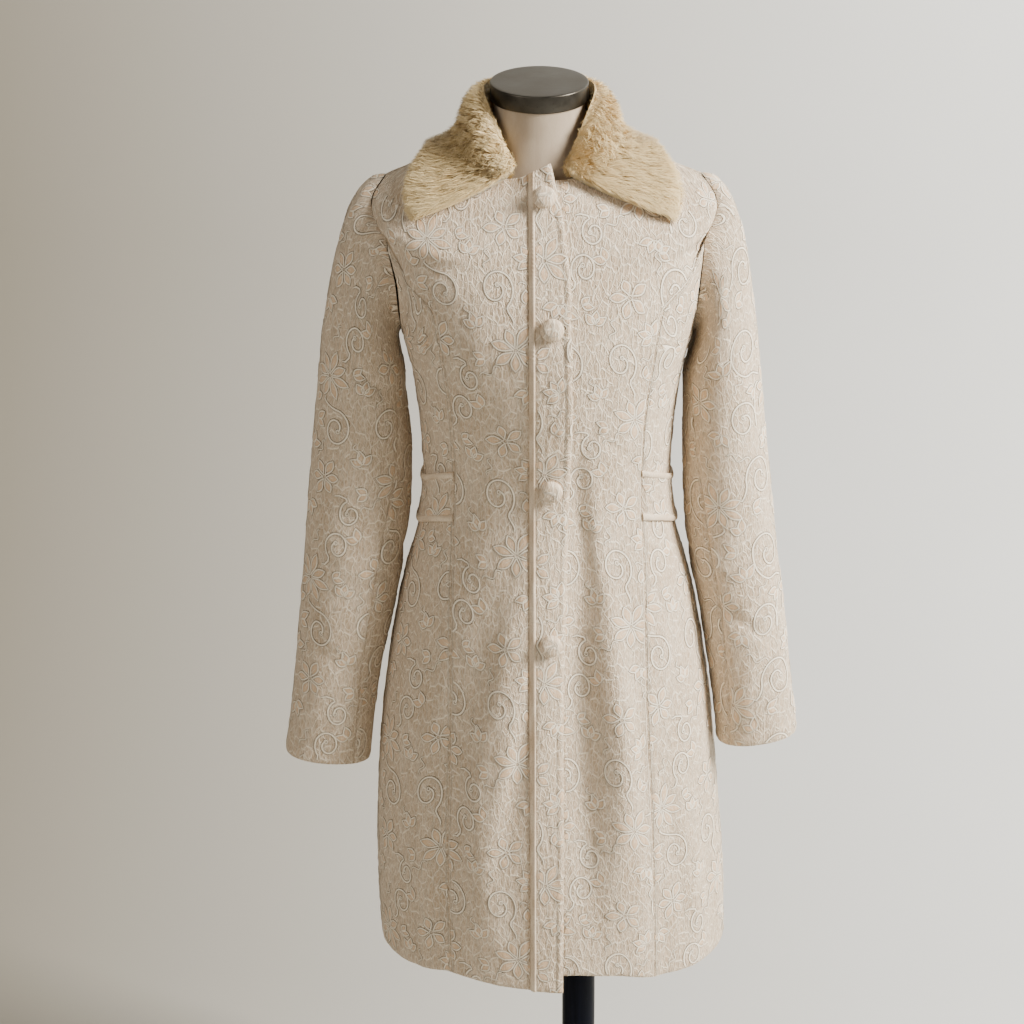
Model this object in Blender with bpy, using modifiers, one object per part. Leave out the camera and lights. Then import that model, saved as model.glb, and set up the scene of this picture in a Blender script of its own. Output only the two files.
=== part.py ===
"""A fitted women's coat with a long-pile collar, standing on a limbless dress form.

Metres, +Z up. The front faces -Y and +X is the wearer's left. The origin is on the underside
of the stand's base, below the middle of the coat.
"""

import math

import bmesh
import bpy
import numpy as np
from mathutils import Euler, Vector

# Every table's first row names its columns.

# Driving sizes
CLOTH = 0.002
SEAM = 0.0003
LAP = 0.0009
HEM = 0.400
ARMPIT = 1.130
SHOULDER_TIP = 1.300
NECKLINE = 1.335
POLE_X = 0.038
POLE_RADIUS = 0.0195
BASE_RADIUS = 0.185
BASE_HEIGHT = 0.014
FORM_FOOT = 0.715
CAP_RADIUS = 0.0525
CAP_HEIGHT = 0.019
CAP_TILT = math.radians(9.0)
CAP_TOP = Vector((-0.008, -0.004, 1.400))

# Where the front pieces meet, as distances from the middle of the front
PLACKET_SEAM_X = -0.0200
UNDER_FRONT_X = -0.0080
PLACKET_RISE = 0.0027
PLACKET_CORNER = 0.018
CORNER_STARTS = 1.316
CORNER_FROM_X = -0.0340
PLACKET_EDGE = (
    ("level", "x"),
    (0.400, 0.0165),
    (0.600, 0.0175),
    (0.730, 0.0180),
    (0.860, 0.0210),
    (1.060, 0.0260),
    (1.160, 0.0245),
    (1.270, 0.0220),
    (1.310, 0.0165),
    (1.335, 0.0030),
)
PLACKET_RISES_BY = 0.22
WELT_WIDTH = 0.007
WELT_FROM_SEAM = 0.0005
WELT_RISES_BY = 0.9

# Waist bands
TAB_LOW = 0.910
TAB_HIGH = 0.966
TAB_WELT = 0.0075
TAB_WELT_GAP = 0.0005

# How finely the cloth is divided
SKIRT_ROWS = 12
BODICE_ROWS = 4
YOKE_ROWS = 4
FRONT_COLUMNS = 6
UNDER_FRONT_COLUMNS = 8
SIDE_COLUMNS = 3
BACK_COLUMNS = 8
PLACKET_COLUMNS = 4
WELT_COLUMNS = 2
ARM_STEP = 15
PRINCESS_MEETS = 60
FORM_STEP = 15
FORM_ROWS = 9
FORM_ARM_STEP = 30
TINY = 1e-6

# The body's sections from hem to neck. The level is the height at the side; the drops are how
# much lower the ring runs at the middle of the front and of the back.
BODY_SECTIONS = (
    (
        "level", "centre_x", "half_width", "front", "back", "front_drop", "back_drop", "square",
    ),
    (0.400, 0.0070, 0.2020, 0.166, 0.163, 0.000, 0.000, 2.2),
    (0.470, 0.0045, 0.2025, 0.163, 0.162, 0.000, 0.000, 2.2),
    (0.575, 0.0010, 0.1980, 0.158, 0.160, 0.000, 0.000, 2.2),
    (0.700, 0.0000, 0.1870, 0.148, 0.153, 0.000, 0.000, 2.2),
    (0.780, 0.0000, 0.1750, 0.139, 0.145, 0.000, 0.000, 2.2),
    (0.850, 0.0000, 0.1600, 0.127, 0.133, -0.018, 0.000, 2.2),
    (0.905, 0.0000, 0.1440, 0.117, 0.118, -0.030, 0.000, 2.2),
    (0.945, 0.0000, 0.1372, 0.116, 0.109, -0.033, 0.000, 2.2),
    (0.990, 0.0000, 0.1380, 0.122, 0.108, -0.030, 0.000, 2.2),
    (1.045, 0.0000, 0.1420, 0.130, 0.114, -0.018, 0.000, 2.2),
    (1.090, 0.0000, 0.1485, 0.134, 0.120, -0.008, 0.000, 2.3),
    (1.130, 0.0000, 0.1580, 0.134, 0.124, 0.000, 0.000, 2.4),
    (1.190, 0.0000, 0.1690, 0.125, 0.123, 0.015, 0.010, 2.6),
    (1.250, -0.0020, 0.1745, 0.111, 0.115, 0.035, 0.025, 2.8),
    (1.300, -0.0040, 0.1690, 0.096, 0.102, 0.050, 0.035, 2.8),
    (1.313, -0.0050, 0.1350, 0.084, 0.089, 0.039, 0.012, 2.5),
    (1.325, -0.0060, 0.1020, 0.073, 0.073, 0.033, 0.000, 2.2),
    (1.335, -0.0080, 0.0760, 0.064, 0.058, 0.030, -0.010, 2.0),
)

# The form's neck carries on above the neckline with the same columns
NECK_SECTIONS = (
    (
        "level", "centre_x", "half_width", "front", "back", "front_drop", "back_drop", "square",
    ),
    (1.346, -0.0080, 0.0580, 0.054, 0.048, 0.024, -0.010, 2.0),
    (1.360, -0.0080, 0.0500, 0.050, 0.045, 0.012, -0.006, 2.0),
)
NECK_TOP_HALF_WIDTH = 0.0475
NECK_TOP_HALF_DEPTH = 0.0470

# How far the form stands inside the cloth
FORM_CLEARANCE = (
    ("level", "clearance"),
    (0.700, 0.0240),
    (0.780, 0.0170),
    (0.850, 0.0120),
    (0.945, 0.0070),
    (1.045, 0.0060),
    (1.130, 0.0080),
    (1.250, 0.0100),
    (1.300, 0.0065),
    (1.335, 0.0035),
)
SHOULDER_SEAT = 0.0005
RIDGE_HALF_ANGLE = 15.0
ARM_HALF_ANGLE = 45.0
ARM_INSET = 0.006

# Soft folds, as troughs (minus) and ridges (plus) of the whole surface. Angles run from the
# middle of the front towards the wearer's left.
FOLDS = (
    ("angle", "low", "high", "half_angle", "depth", "drift"),
    (13.0, 0.440, 0.980, 5.0, -0.0095, 6.0),
    (25.0, 0.380, 0.860, 7.0, 0.0055, -10.0),
    (37.0, 0.250, 0.620, 6.0, -0.0045, 8.0),
    (-15.0, 0.430, 0.900, 7.0, 0.0060, 40.0),
    (-31.0, 0.420, 0.860, 7.0, -0.0050, 30.0),
    (-44.0, 0.240, 0.640, 7.0, 0.0040, -12.0),
    (-60.0, 1.120, 1.240, 8.0, -0.0040, 0.0),
    (133.0, 0.240, 0.760, 8.0, -0.0060, 10.0),
    (152.0, 0.260, 0.820, 9.0, 0.0050, -6.0),
    (176.0, 0.230, 0.860, 9.0, -0.0060, 4.0),
    (-156.0, 0.250, 0.800, 9.0, 0.0055, 6.0),
    (-134.0, 0.240, 0.740, 8.0, -0.0055, -10.0),
)

# The front princess seam, as the distance from the middle at each level
PRINCESS = (
    ("level", "front_x", "back_x"),
    (0.400, 0.1230, 0.1180),
    (0.550, 0.1180, 0.1120),
    (0.700, 0.1100, 0.1020),
    (0.850, 0.1060, 0.0900),
    (0.960, 0.1020, 0.0800),
    (1.050, 0.1050, 0.0880),
    (1.130, 0.1140, 0.1040),
    (1.190, 0.1220, 0.1200),
    (1.225, 0.1320, 0.1320),
    (1.260, 0.1450, 0.1450),
)
PRINCESS_TURNS = 1.180
PRINCESS_TIP = 0.0025

# The hem runs a little uneven, and the right front hangs lower than the left
LIFT_RIGHT = (
    ("angle", "lift"),
    (-90.0, 0.000),
    (-55.0, 0.004),
    (-36.0, 0.013),
    (-18.0, 0.005),
    (0.0, 0.000),
    (12.0, 0.000),
)
LIFT_LEFT = (
    ("angle", "lift"),
    (-6.0, 0.020),
    (8.0, 0.020),
    (22.0, 0.015),
    (34.0, 0.004),
    (90.0, 0.000),
)
LIFT_FADES = 0.12

# The armhole
ARMHOLE_FRONT = 0.050
ARMHOLE_BACK = 0.053
ARMHOLE_GAP = 0.0006

# The sleeves' rings below the armhole, with each arm's own place and width
SLEEVE_SECTIONS = (
    ("level", "right_x", "right_half", "left_x", "left_half", "centre_y", "half_depth"),
    (0.638, 0.2520, 0.0480, 0.2400, 0.0455, -0.030, 0.0400),
    (0.700, 0.2430, 0.0475, 0.2345, 0.0450, -0.026, 0.0430),
    (0.760, 0.2345, 0.0490, 0.2270, 0.0460, -0.020, 0.0460),
    (0.820, 0.2245, 0.0530, 0.2185, 0.0475, -0.014, 0.0490),
    (0.880, 0.2160, 0.0560, 0.2080, 0.0495, -0.008, 0.0520),
    (0.940, 0.2090, 0.0570, 0.2020, 0.0490, -0.004, 0.0540),
    (1.000, 0.2050, 0.0550, 0.1975, 0.0465, -0.001, 0.0560),
    (1.070, 0.2040, 0.0480, 0.1930, 0.0430, 0.000, 0.0580),
)
CUFF_RIGHT = 0.638
CUFF_LEFT = 0.659
SLEEVE_TILT = 0.115
SLEEVE_ROWS = 9
CAP_ROWS = 5
FRONT_ARM_SEAM = 150
BACK_ARM_SEAM = 240
ARM_RADIUS = 0.045
CAP_ROWS_BUNCH = 1.2

# How the sleeve leaves the armhole: its slopes there and at its widest ring, and how far each
# slope reaches as a share of the way between them
CAP_OPENS = 0.25
CAP_LIFTS = 0.16
CAP_FALLS = 0.50
CAP_REACH = 0.53
ARM_LEANS = 0.10
ARM_REACH = 1.33

# The front seam swings forward at the elbow. Down runs from 0 at the armhole over 1 at the
# widest ring to 2 at the cuff, and the turn from the sleeve's outer side to its front.
SLEEVE_SEAM = (
    ("down", "turn"),
    (0.00, 150.0),
    (1.00, 147.0),
    (1.15, 138.0),
    (1.30, 127.0),
    (1.45, 122.0),
    (1.75, 125.0),
    (2.00, 133.0),
)

# The collar, from its front end to the middle of the back. Each section runs from the roll
# line down to the outer edge, which lies on the coat at an angle and a level.
COLLAR_SECTIONS = (
    ("neck_angle", "edge_angle", "edge_level", "roll", "pile"),
    (27.0, 47.5, 1.3015, 1.320, 0.010),
    (40.0, 59.0, 1.3060, 1.345, 0.013),
    (60.0, 74.0, 1.3120, 1.374, 0.014),
    (90.0, 92.0, 1.3180, 1.392, 0.015),
    (120.0, 116.0, 1.3150, 1.396, 0.015),
    (150.0, 147.0, 1.3110, 1.398, 0.015),
    (180.0, 180.0, 1.3100, 1.398, 0.015),
)
COLLAR_STEPS = 14
COLLAR_CLEAR = 0.0016
COLLAR_BELOW_NECKLINE = 0.0005
COLLAR_UNDER_SHARES = (0.0, 0.2, 0.4, 0.6, 0.8, 1.0)
COLLAR_TOP_SHARES = (0.85, 0.65, 0.45, 0.25, 0.1, 0.0)
COLLAR_NOSE = 0.35
STAND_LIFT = 0.0012
STAND_INSIDE = 0.004
ROLL_LEAST_RISE = 0.006
ROLL_THICKNESS = 0.015
ROLL_HALF_WIDTH = 0.0560
ROLL_FRONT = 0.060
ROLL_BACK = 0.058

# Buttons on the placket
BUTTONS = (
    ("height", "x", "seat"),
    (1.2950, -0.0035, 0.0024),
    (1.1600, 0.0040, 0.0008),
    (0.9800, 0.0030, 0.0011),
    (0.8090, 0.0020, 0.0008),
)

# A button's outline, from the top of its dome to its shank
BUTTON_PROFILE = (
    ("radius", "height"),
    (0.0000, 0.0088),
    (0.0060, 0.0080),
    (0.0100, 0.0060),
    (0.0122, 0.0038),
    (0.0125, 0.0026),
    (0.0112, 0.0015),
    (0.0045, 0.0015),
    (0.0045, 0.0000),
    (0.0000, 0.0000),
)
BUTTON_STEPS = 18

CLOTH_COLOUR = (0.66, 0.59, 0.50, 1.0)
FUR_COLOUR = (0.66, 0.56, 0.38, 1.0)
LINEN_COLOUR = (0.52, 0.45, 0.35, 1.0)
CAP_COLOUR = (0.16, 0.15, 0.12, 1.0)
POLE_COLOUR = (0.01, 0.012, 0.03, 1.0)


def rows_of(table):
    """A table's rows, each by column name."""
    return [dict(zip(table[0], row)) for row in table[1:]]


def column(table, name):
    return np.array([row[name] for row in rows_of(table)])


def curve_through(table, name, at):
    """The smooth curve of a named column over a table's first one."""
    xs = column(table, table[0][0])
    ys = column(table, name)
    slopes = np.gradient(ys, xs)
    at = np.clip(at, xs[0], xs[-1])
    i = np.clip(np.searchsorted(xs, at) - 1, 0, len(xs) - 2)
    span = xs[i + 1] - xs[i]
    t = (at - xs[i]) / span
    start = (2 * t**3 - 3 * t**2 + 1) * ys[i] + (t**3 - 2 * t**2 + t) * span * slopes[i]
    end = (3 * t**2 - 2 * t**3) * ys[i + 1] + (t**3 - t**2) * span * slopes[i + 1]
    return start + end


def sizes_at(table, at):
    """Every size in a table at a value of its first column."""
    return {name: curve_through(table, name, at) for name in table[0][1:]}


def ease(t):
    t = np.clip(t, 0.0, 1.0)
    return t * t * (3.0 - 2.0 * t)


def fold_height(angle, level):
    """How far the folds move the surface out at an angle in degrees and a level."""
    total = np.zeros(np.broadcast(angle, level).shape)
    for row in rows_of(FOLDS):
        middle = 0.5 * (row["low"] + row["high"])
        along = np.clip((level - row["low"]) / (row["high"] - row["low"]), 0.0, 1.0)
        away = (angle - row["angle"] - row["drift"] * (level - middle) + 180.0) % 360.0 - 180.0
        total += row["depth"] * np.sin(math.pi * along) * np.exp(-((away / row["half_angle"]) ** 2))
    return total


def ring_point(angle, level, table=BODY_SECTIONS):
    """A point of the smooth body at an angle in degrees from the middle of the front."""
    size = sizes_at(table, level)
    turn = np.radians(angle)
    sine = np.sin(turn)
    cosine = np.cos(turn)
    power = size["square"]
    reach = (np.abs(sine) ** power + np.abs(cosine) ** power) ** (-1.0 / power)
    depth = np.where(cosine > 0.0, size["front"], size["back"])
    drop = np.where(cosine > 0.0, size["front_drop"], size["back_drop"]) * ease(np.abs(cosine))
    return np.stack(
        [
            size["centre_x"] + size["half_width"] * reach * sine,
            -depth * reach * cosine,
            level - drop,
        ],
        axis=-1,
    )


def folded_point(angle, level):
    """A point of the body's outer face, with the folds."""
    turn = np.radians(angle)
    out = np.stack([np.sin(turn), -np.cos(turn), np.zeros_like(turn)], axis=-1)
    return ring_point(angle, level) + out * fold_height(angle, level)[..., None]


def facing_out(point_at, angle, level):
    """The outward normal of a surface given as a function of angle and level."""
    turn = 0.25
    rise = 0.0008
    across = point_at(angle + turn, level) - point_at(angle - turn, level)
    up = point_at(angle, level + rise) - point_at(angle, level - rise)
    normal = np.cross(across, up)
    return normal / np.linalg.norm(normal, axis=-1, keepdims=True)


def coat_point(angle, level, out=0.0):
    """A point at a distance out from the coat's outer face."""
    angle = np.asarray(angle, dtype=float)
    level = np.asarray(level, dtype=float)
    angle, level = np.broadcast_arrays(angle, level)
    normal = facing_out(folded_point, angle, level)
    return folded_point(angle, level) + normal * np.broadcast_to(out, angle.shape)[..., None]


def angle_at_x(level, x, back=False):
    """The angle at which the front (or back) of the body has this x."""
    size = sizes_at(BODY_SECTIONS, level)
    power = size["square"]
    part = np.clip((x - size["centre_x"]) / size["half_width"], -0.9999, 0.9999)
    rest = (1.0 - np.abs(part) ** power) ** (1.0 / power)
    angle = np.degrees(np.arctan2(np.abs(part), rest))
    return np.sign(part) * (180.0 - angle if back else angle)


def armhole_level(turn):
    """The armhole's level at a turn in degrees, from 0 at the shoulder to 180 at the armpit."""
    return ARMPIT + (SHOULDER_TIP - ARMPIT) * 0.5 * (1.0 + np.cos(np.radians(turn)))


def armhole_angle(level, back=False):
    """The body angle of the armhole's edge, on the wearer's left."""
    share = np.clip((level - ARMPIT) / (SHOULDER_TIP - ARMPIT), 0.0, 1.0)
    depth = (ARMHOLE_BACK if back else ARMHOLE_FRONT) * 2.0 * np.sqrt(share * (1.0 - share))
    size = sizes_at(BODY_SECTIONS, level)
    power = size["square"]
    part = depth / size["back" if back else "front"]
    rest = (1.0 - part**power) ** (1.0 / power)
    angle = np.degrees(np.arctan2(rest, part))
    return 180.0 - angle if back else angle


def princess_angle(level, back=False):
    """The body angle of a princess seam, on the wearer's left."""
    x = curve_through(PRINCESS, "back_x" if back else "front_x", level)
    angle = angle_at_x(level, x, back)
    edge = armhole_angle(level, back)
    tip = seam_turn(level, edge, PRINCESS_TIP)
    meets = armhole_level(PRINCESS_MEETS)
    share = ease((level - PRINCESS_TURNS) / (meets - PRINCESS_TURNS))
    return angle + (edge + np.where(back, tip, -tip) - angle) * share


def level_at_height(height):
    """The level at which the middle of the front has this height."""
    levels = np.linspace(HEM, NECKLINE, 200)
    return np.interp(height, ring_point(0.0 * levels, levels)[:, 2], levels)


def cloth_levels(top_turn=0, to_neck=True):
    """The rows of a panel: the skirt and bodice, beside the armhole, and the yoke."""
    skirt = np.append(np.linspace(HEM, TAB_LOW, SKIRT_ROWS + 1), TAB_LOW + TAB_WELT)
    bodice = np.append(TAB_HIGH - TAB_WELT, np.linspace(TAB_HIGH, ARMPIT, BODICE_ROWS + 1))
    beside = armhole_level(np.arange(180 - ARM_STEP, top_turn - 1, -ARM_STEP))
    yoke = np.linspace(SHOULDER_TIP, NECKLINE, YOKE_ROWS + 1)[1:]
    return np.concatenate([skirt, bodice, beside, yoke] if to_neck else [skirt, bodice, beside])


def hem_lift(angle, level, lift):
    """How far the rows near the hem are raised."""
    fade = 1.0 - ease((level - HEM) / LIFT_FADES)
    return np.interp(angle, column(lift, "angle"), column(lift, "lift")) * fade


def seam_turn(level, angle, gap):
    """The angle that a gap takes up along the cloth."""
    step = 0.5
    across = ring_point(angle + step, level) - ring_point(angle - step, level)
    return gap * 2.0 * step / np.linalg.norm(across, axis=-1)


def new_material(name, colour, roughness, metallic=0.0):
    material = bpy.data.materials.new(name)
    material.use_nodes = True
    shader = material.node_tree.nodes["Principled BSDF"]
    shader.inputs["Base Color"].default_value = colour
    shader.inputs["Roughness"].default_value = roughness
    shader.inputs["Metallic"].default_value = metallic
    return material


def add_object(name, mesh, material):
    mesh.materials.append(material)
    obj = bpy.data.objects.new(name, mesh)
    bpy.data.collections[COAT].objects.link(obj)
    return obj


def mesh_from(bm, name):
    bmesh.ops.recalc_face_normals(bm, faces=bm.faces)
    mesh = bpy.data.meshes.new(name)
    bm.to_mesh(mesh)
    bm.free()
    mesh.shade_smooth()
    mesh.set_sharp_from_angle(angle=math.radians(40.0))
    return mesh


def wall_mesh(name, outer, inner):
    """A closed wall between two grids of points: its faces and its four edges."""
    rows, columns = outer.shape[:2]
    bm = bmesh.new()
    front = [[bm.verts.new(p) for p in line] for line in outer]
    rear = [[bm.verts.new(p) for p in line] for line in inner]
    for i in range(rows - 1):
        for j in range(columns - 1):
            bm.faces.new((front[i][j], front[i][j + 1], front[i + 1][j + 1], front[i + 1][j]))
            bm.faces.new((rear[i][j], rear[i + 1][j], rear[i + 1][j + 1], rear[i][j + 1]))
    sides = [[(i, j) for i in range(rows)] for j in (0, columns - 1)]
    sides += [[(i, j) for j in range(columns)] for i in (0, rows - 1)]
    for side in sides:
        # One diagonal for every edge quad, so that the two sides of a seam stay parallel
        for (i, j), (k, m) in zip(side, side[1:]):
            bm.faces.new((front[i][j], front[k][m], rear[k][m]))
            bm.faces.new((front[i][j], rear[k][m], rear[i][j]))
    return mesh_from(bm, name)


def loft_mesh(name, rings):
    """A closed body through rings of points, with a flat face at each end."""
    bm = bmesh.new()
    loops = [[bm.verts.new(p) for p in ring] for ring in rings]
    for low, high in zip(loops, loops[1:]):
        for j in range(len(low)):
            k = (j + 1) % len(low)
            bm.faces.new((low[j], low[k], high[k], high[j]))
    bm.faces.new(loops[0])
    bm.faces.new(loops[-1])
    return mesh_from(bm, name)


def corner_height(x, level):
    """How far the right front's upper corner stands above the neckline."""
    across = (x - CORNER_FROM_X) / (column(PLACKET_EDGE, "x")[-1] - CORNER_FROM_X)
    up = ease((level - CORNER_STARTS) / (NECKLINE - CORNER_STARTS))
    return PLACKET_CORNER * np.clip(across, 0.0, 1.0) * up


def add_panel(name, levels, start, end, columns, lift=None, rise=None, corner=False):
    """A piece of cloth between two edges, each the body angle at each level.

    A rise moves it out from the coat's face, by its place from one edge to the other. The right
    front and the placket share an upper corner above the neckline.
    """
    start = start + seam_turn(levels, start, SEAM / 2)
    end = end - seam_turn(levels, end, SEAM / 2)
    across = np.linspace(0.0, 1.0, columns + 1)
    angle = start[:, None] + (end - start)[:, None] * across[None, :]
    level = np.repeat(levels[:, None], columns + 1, axis=1)
    if lift:
        level = level + hem_lift(angle, level, lift)
    out = rise(across)[None, :] * np.ones_like(angle) if rise else np.zeros_like(angle)
    outer = coat_point(angle, level, out)
    inner = coat_point(angle, level, out - CLOTH)
    if corner:
        stands = corner_height(outer[..., 0], level)
        outer[..., 2] += stands
        inner[..., 2] += stands
    return add_object(name, wall_mesh(name, outer, inner), MATERIALS["cloth"])


def add_fronts():
    """Centre fronts. The left one runs under the placket."""
    levels = cloth_levels()
    outer_edge = np.where(
        levels < armhole_level(PRINCESS_MEETS) + TINY,
        princess_angle(levels),
        np.where(levels < SHOULDER_TIP, armhole_angle(levels), 90.0),
    )
    seam = angle_at_x(levels, PLACKET_SEAM_X)
    add_panel("front_right", levels, -outer_edge, seam, FRONT_COLUMNS, LIFT_RIGHT, corner=True)
    under = angle_at_x(levels, UNDER_FRONT_X)
    add_panel("front_left", levels, under, outer_edge, UNDER_FRONT_COLUMNS, LIFT_LEFT)


def add_sides():
    """Side fronts and side backs, which end in a point at the armhole."""
    levels = cloth_levels(PRINCESS_MEETS, to_neck=False)
    side_seam = np.full_like(levels, 90.0)
    front_arm = np.where(levels <= ARMPIT, side_seam, armhole_angle(levels))
    back_arm = np.where(levels <= ARMPIT, side_seam, armhole_angle(levels, back=True))
    front_seam = princess_angle(levels)
    back_seam = princess_angle(levels, back=True)
    add_panel("side_front_left", levels, front_seam, front_arm, SIDE_COLUMNS, LIFT_LEFT)
    add_panel("side_front_right", levels, -front_arm, -front_seam, SIDE_COLUMNS, LIFT_RIGHT)
    add_panel("side_back_left", levels, back_arm, back_seam, SIDE_COLUMNS)
    add_panel("side_back_right", levels, -back_seam, -back_arm, SIDE_COLUMNS)


def add_back():
    """The centre back, in one piece from one back princess seam to the other."""
    levels = cloth_levels()
    edge = np.where(
        levels < armhole_level(PRINCESS_MEETS) + TINY,
        princess_angle(levels, back=True),
        np.where(levels < SHOULDER_TIP, armhole_angle(levels, back=True), 90.0),
    )
    add_panel("back", levels, edge, 360.0 - edge, BACK_COLUMNS)


def add_placket():
    """The band on the right front's edge, and the corded strip beside its seam."""
    levels = cloth_levels()
    start = angle_at_x(levels, PLACKET_SEAM_X)
    end = angle_at_x(levels, curve_through(PLACKET_EDGE, "x", levels))
    add_panel(
        "front_placket", levels, start, end, PLACKET_COLUMNS, LIFT_RIGHT,
        rise=lambda across: PLACKET_RISE * ease(across / PLACKET_RISES_BY), corner=True,
    )
    welt_x = PLACKET_SEAM_X - WELT_FROM_SEAM
    welt_start = angle_at_x(levels, welt_x)
    welt_end = angle_at_x(levels, welt_x + WELT_WIDTH)
    add_panel(
        "placket_welt", levels, welt_start, welt_end, WELT_COLUMNS, LIFT_RIGHT,
        rise=lambda across: CLOTH + SEAM + PLACKET_RISE * ease(across / WELT_RISES_BY),
        corner=True,
    )


def add_waist_bands():
    """A band with corded edges at each side of the waist, from the front seam to the back one."""
    rows = (TAB_LOW, TAB_LOW + TAB_WELT, TAB_HIGH - TAB_WELT, TAB_HIGH)
    tab_out = CLOTH + LAP
    welt_out = tab_out + TAB_WELT_GAP + CLOTH
    bands = (
        ("waist_tab", rows, tab_out),
        ("waist_welt_lower", rows[:2], welt_out),
        ("waist_welt_upper", rows[2:], welt_out),
    )
    for name, levels, out in bands:
        levels = np.array(levels)
        front = princess_angle(levels)
        back = princess_angle(levels, back=True)
        to_side = np.linspace(0.0, 1.0, SIDE_COLUMNS + 1)
        angle = np.concatenate(
            [
                front[:, None] + (90.0 - front)[:, None] * to_side,
                90.0 + (back - 90.0)[:, None] * to_side[1:],
            ],
            axis=1,
        )
        level = np.repeat(levels[:, None], angle.shape[1], axis=1)
        for side, arm in ((1, "left"), (-1, "right")):
            outer = coat_point(side * angle, level, out)
            inner = coat_point(side * angle, level, out - CLOTH)
            label = f"{name}_{arm}"
            add_object(label, wall_mesh(label, outer, inner), MATERIALS["cloth"])


def sleeve_ring(level, turn, side):
    """A point of a sleeve below its cap. The turn runs from the outer side to the front."""
    row = sizes_at(SLEEVE_SECTIONS, level)
    arm = "left" if side > 0 else "right"
    across = row[arm + "_half"] * np.cos(np.radians(turn))
    return np.stack(
        [
            side * (row[arm + "_x"] + across),
            row["centre_y"] - row["half_depth"] * np.sin(np.radians(turn)),
            level + SLEEVE_TILT * across,
        ],
        axis=-1,
    )


def sleeve_point(turn, down, side):
    """A point of a sleeve's outer face.

    Down runs from 0 at the armhole over 1 at the widest ring to 2 at the cuff.
    """
    turn = np.asarray(turn, dtype=float)
    down = np.asarray(down, dtype=float)
    turn, down = np.broadcast_arrays(turn, down)
    turn = turn % 360.0
    widest = column(SLEEVE_SECTIONS, "level")[-1]
    cuff = CUFF_LEFT if side > 0 else CUFF_RIGHT
    level = armhole_level(turn)
    angle = np.where(turn <= 180.0, armhole_angle(level), armhole_angle(level, back=True))
    start = folded_point(side * angle, level)
    half_way = 0.5 * (ARMPIT + SHOULDER_TIP)
    middle = ring_point(np.full_like(angle, side * 90.0), half_way)
    inward = middle - start
    inward[..., 0] = 0.0
    inward /= np.linalg.norm(inward, axis=-1, keepdims=True)
    sine = np.sin(np.radians(turn))
    cosine = np.cos(np.radians(turn))
    top_share = 0.5 * (1.0 + cosine)
    start = start + inward * ARMHOLE_GAP * (1.0 - top_share[..., None])
    start[..., 0] += side * ARMHOLE_GAP * (0.2 + top_share)
    end = sleeve_ring(np.full_like(level, widest), turn, side)
    length = np.linalg.norm(end - start, axis=-1)
    upward = CAP_LIFTS * top_share - CAP_FALLS * (1.0 - top_share)
    leaves = np.stack([side * np.ones_like(turn), -CAP_OPENS * sine, upward], axis=-1)
    hangs = np.stack(
        [np.full_like(turn, side * ARM_LEANS), np.zeros_like(turn), -np.ones_like(turn)],
        axis=-1,
    )
    t = np.clip(down, 0.0, 1.0)[..., None]
    reach = length[..., None]
    cap = (2 * t**3 - 3 * t**2 + 1) * start + (3 * t**2 - 2 * t**3) * end
    cap += (t**3 - 2 * t**2 + t) * leaves * CAP_REACH * reach
    cap += (t**3 - t**2) * hangs * ARM_REACH * reach
    below = widest + (cuff - widest) * np.clip(down - 1.0, 0.0, 1.0)
    arm = sleeve_ring(below, turn, side)
    return np.where((down <= 1.0)[..., None], cap, arm)


def sleeve_facing(turn, down, side):
    """The outward normal of a sleeve."""
    low = np.clip(down - 0.01, 0.0, 2.0)
    high = np.clip(down + 0.01, 0.0, 2.0)
    along = sleeve_point(turn, high, side) - sleeve_point(turn, low, side)
    around = sleeve_point(turn + 1.0, down, side) - sleeve_point(turn - 1.0, down, side)
    normal = np.cross(around, along) * side
    return normal / np.linalg.norm(normal, axis=-1, keepdims=True)


def add_sleeves():
    """Two-piece sleeves, sewn at the front and the back of the arm."""
    cap = np.linspace(0.0, 1.0, CAP_ROWS + 1) ** CAP_ROWS_BUNCH
    arm = np.linspace(1.0, 2.0, SLEEVE_ROWS + 1)
    down = np.concatenate([cap, arm[1:]])
    for side, arm in ((1, "left"), (-1, "right")):
        pieces = (
            ("sleeve_upper_" + arm, BACK_ARM_SEAM - 360, FRONT_ARM_SEAM),
            ("sleeve_under_" + arm, FRONT_ARM_SEAM, BACK_ARM_SEAM),
        )
        for name, start, end in pieces:
            across = np.linspace(0.0, 1.0, (end - start) // ARM_STEP + 1)[None, :]
            seam = curve_through(SLEEVE_SEAM, "turn", down)[:, None]
            first = seam if start == FRONT_ARM_SEAM else start
            last = seam if end == FRONT_ARM_SEAM else end
            turn = first + (last - first) * across
            gap = math.degrees(SEAM / 2 / ARM_RADIUS)
            turn[:, 0] += gap
            turn[:, -1] -= gap
            row = down[:, None] * np.ones_like(turn)
            outer = sleeve_point(turn, row, side)
            inner = outer - sleeve_facing(turn, row, side) * CLOTH
            add_object(name, wall_mesh(name, outer, inner), MATERIALS["cloth"])


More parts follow.
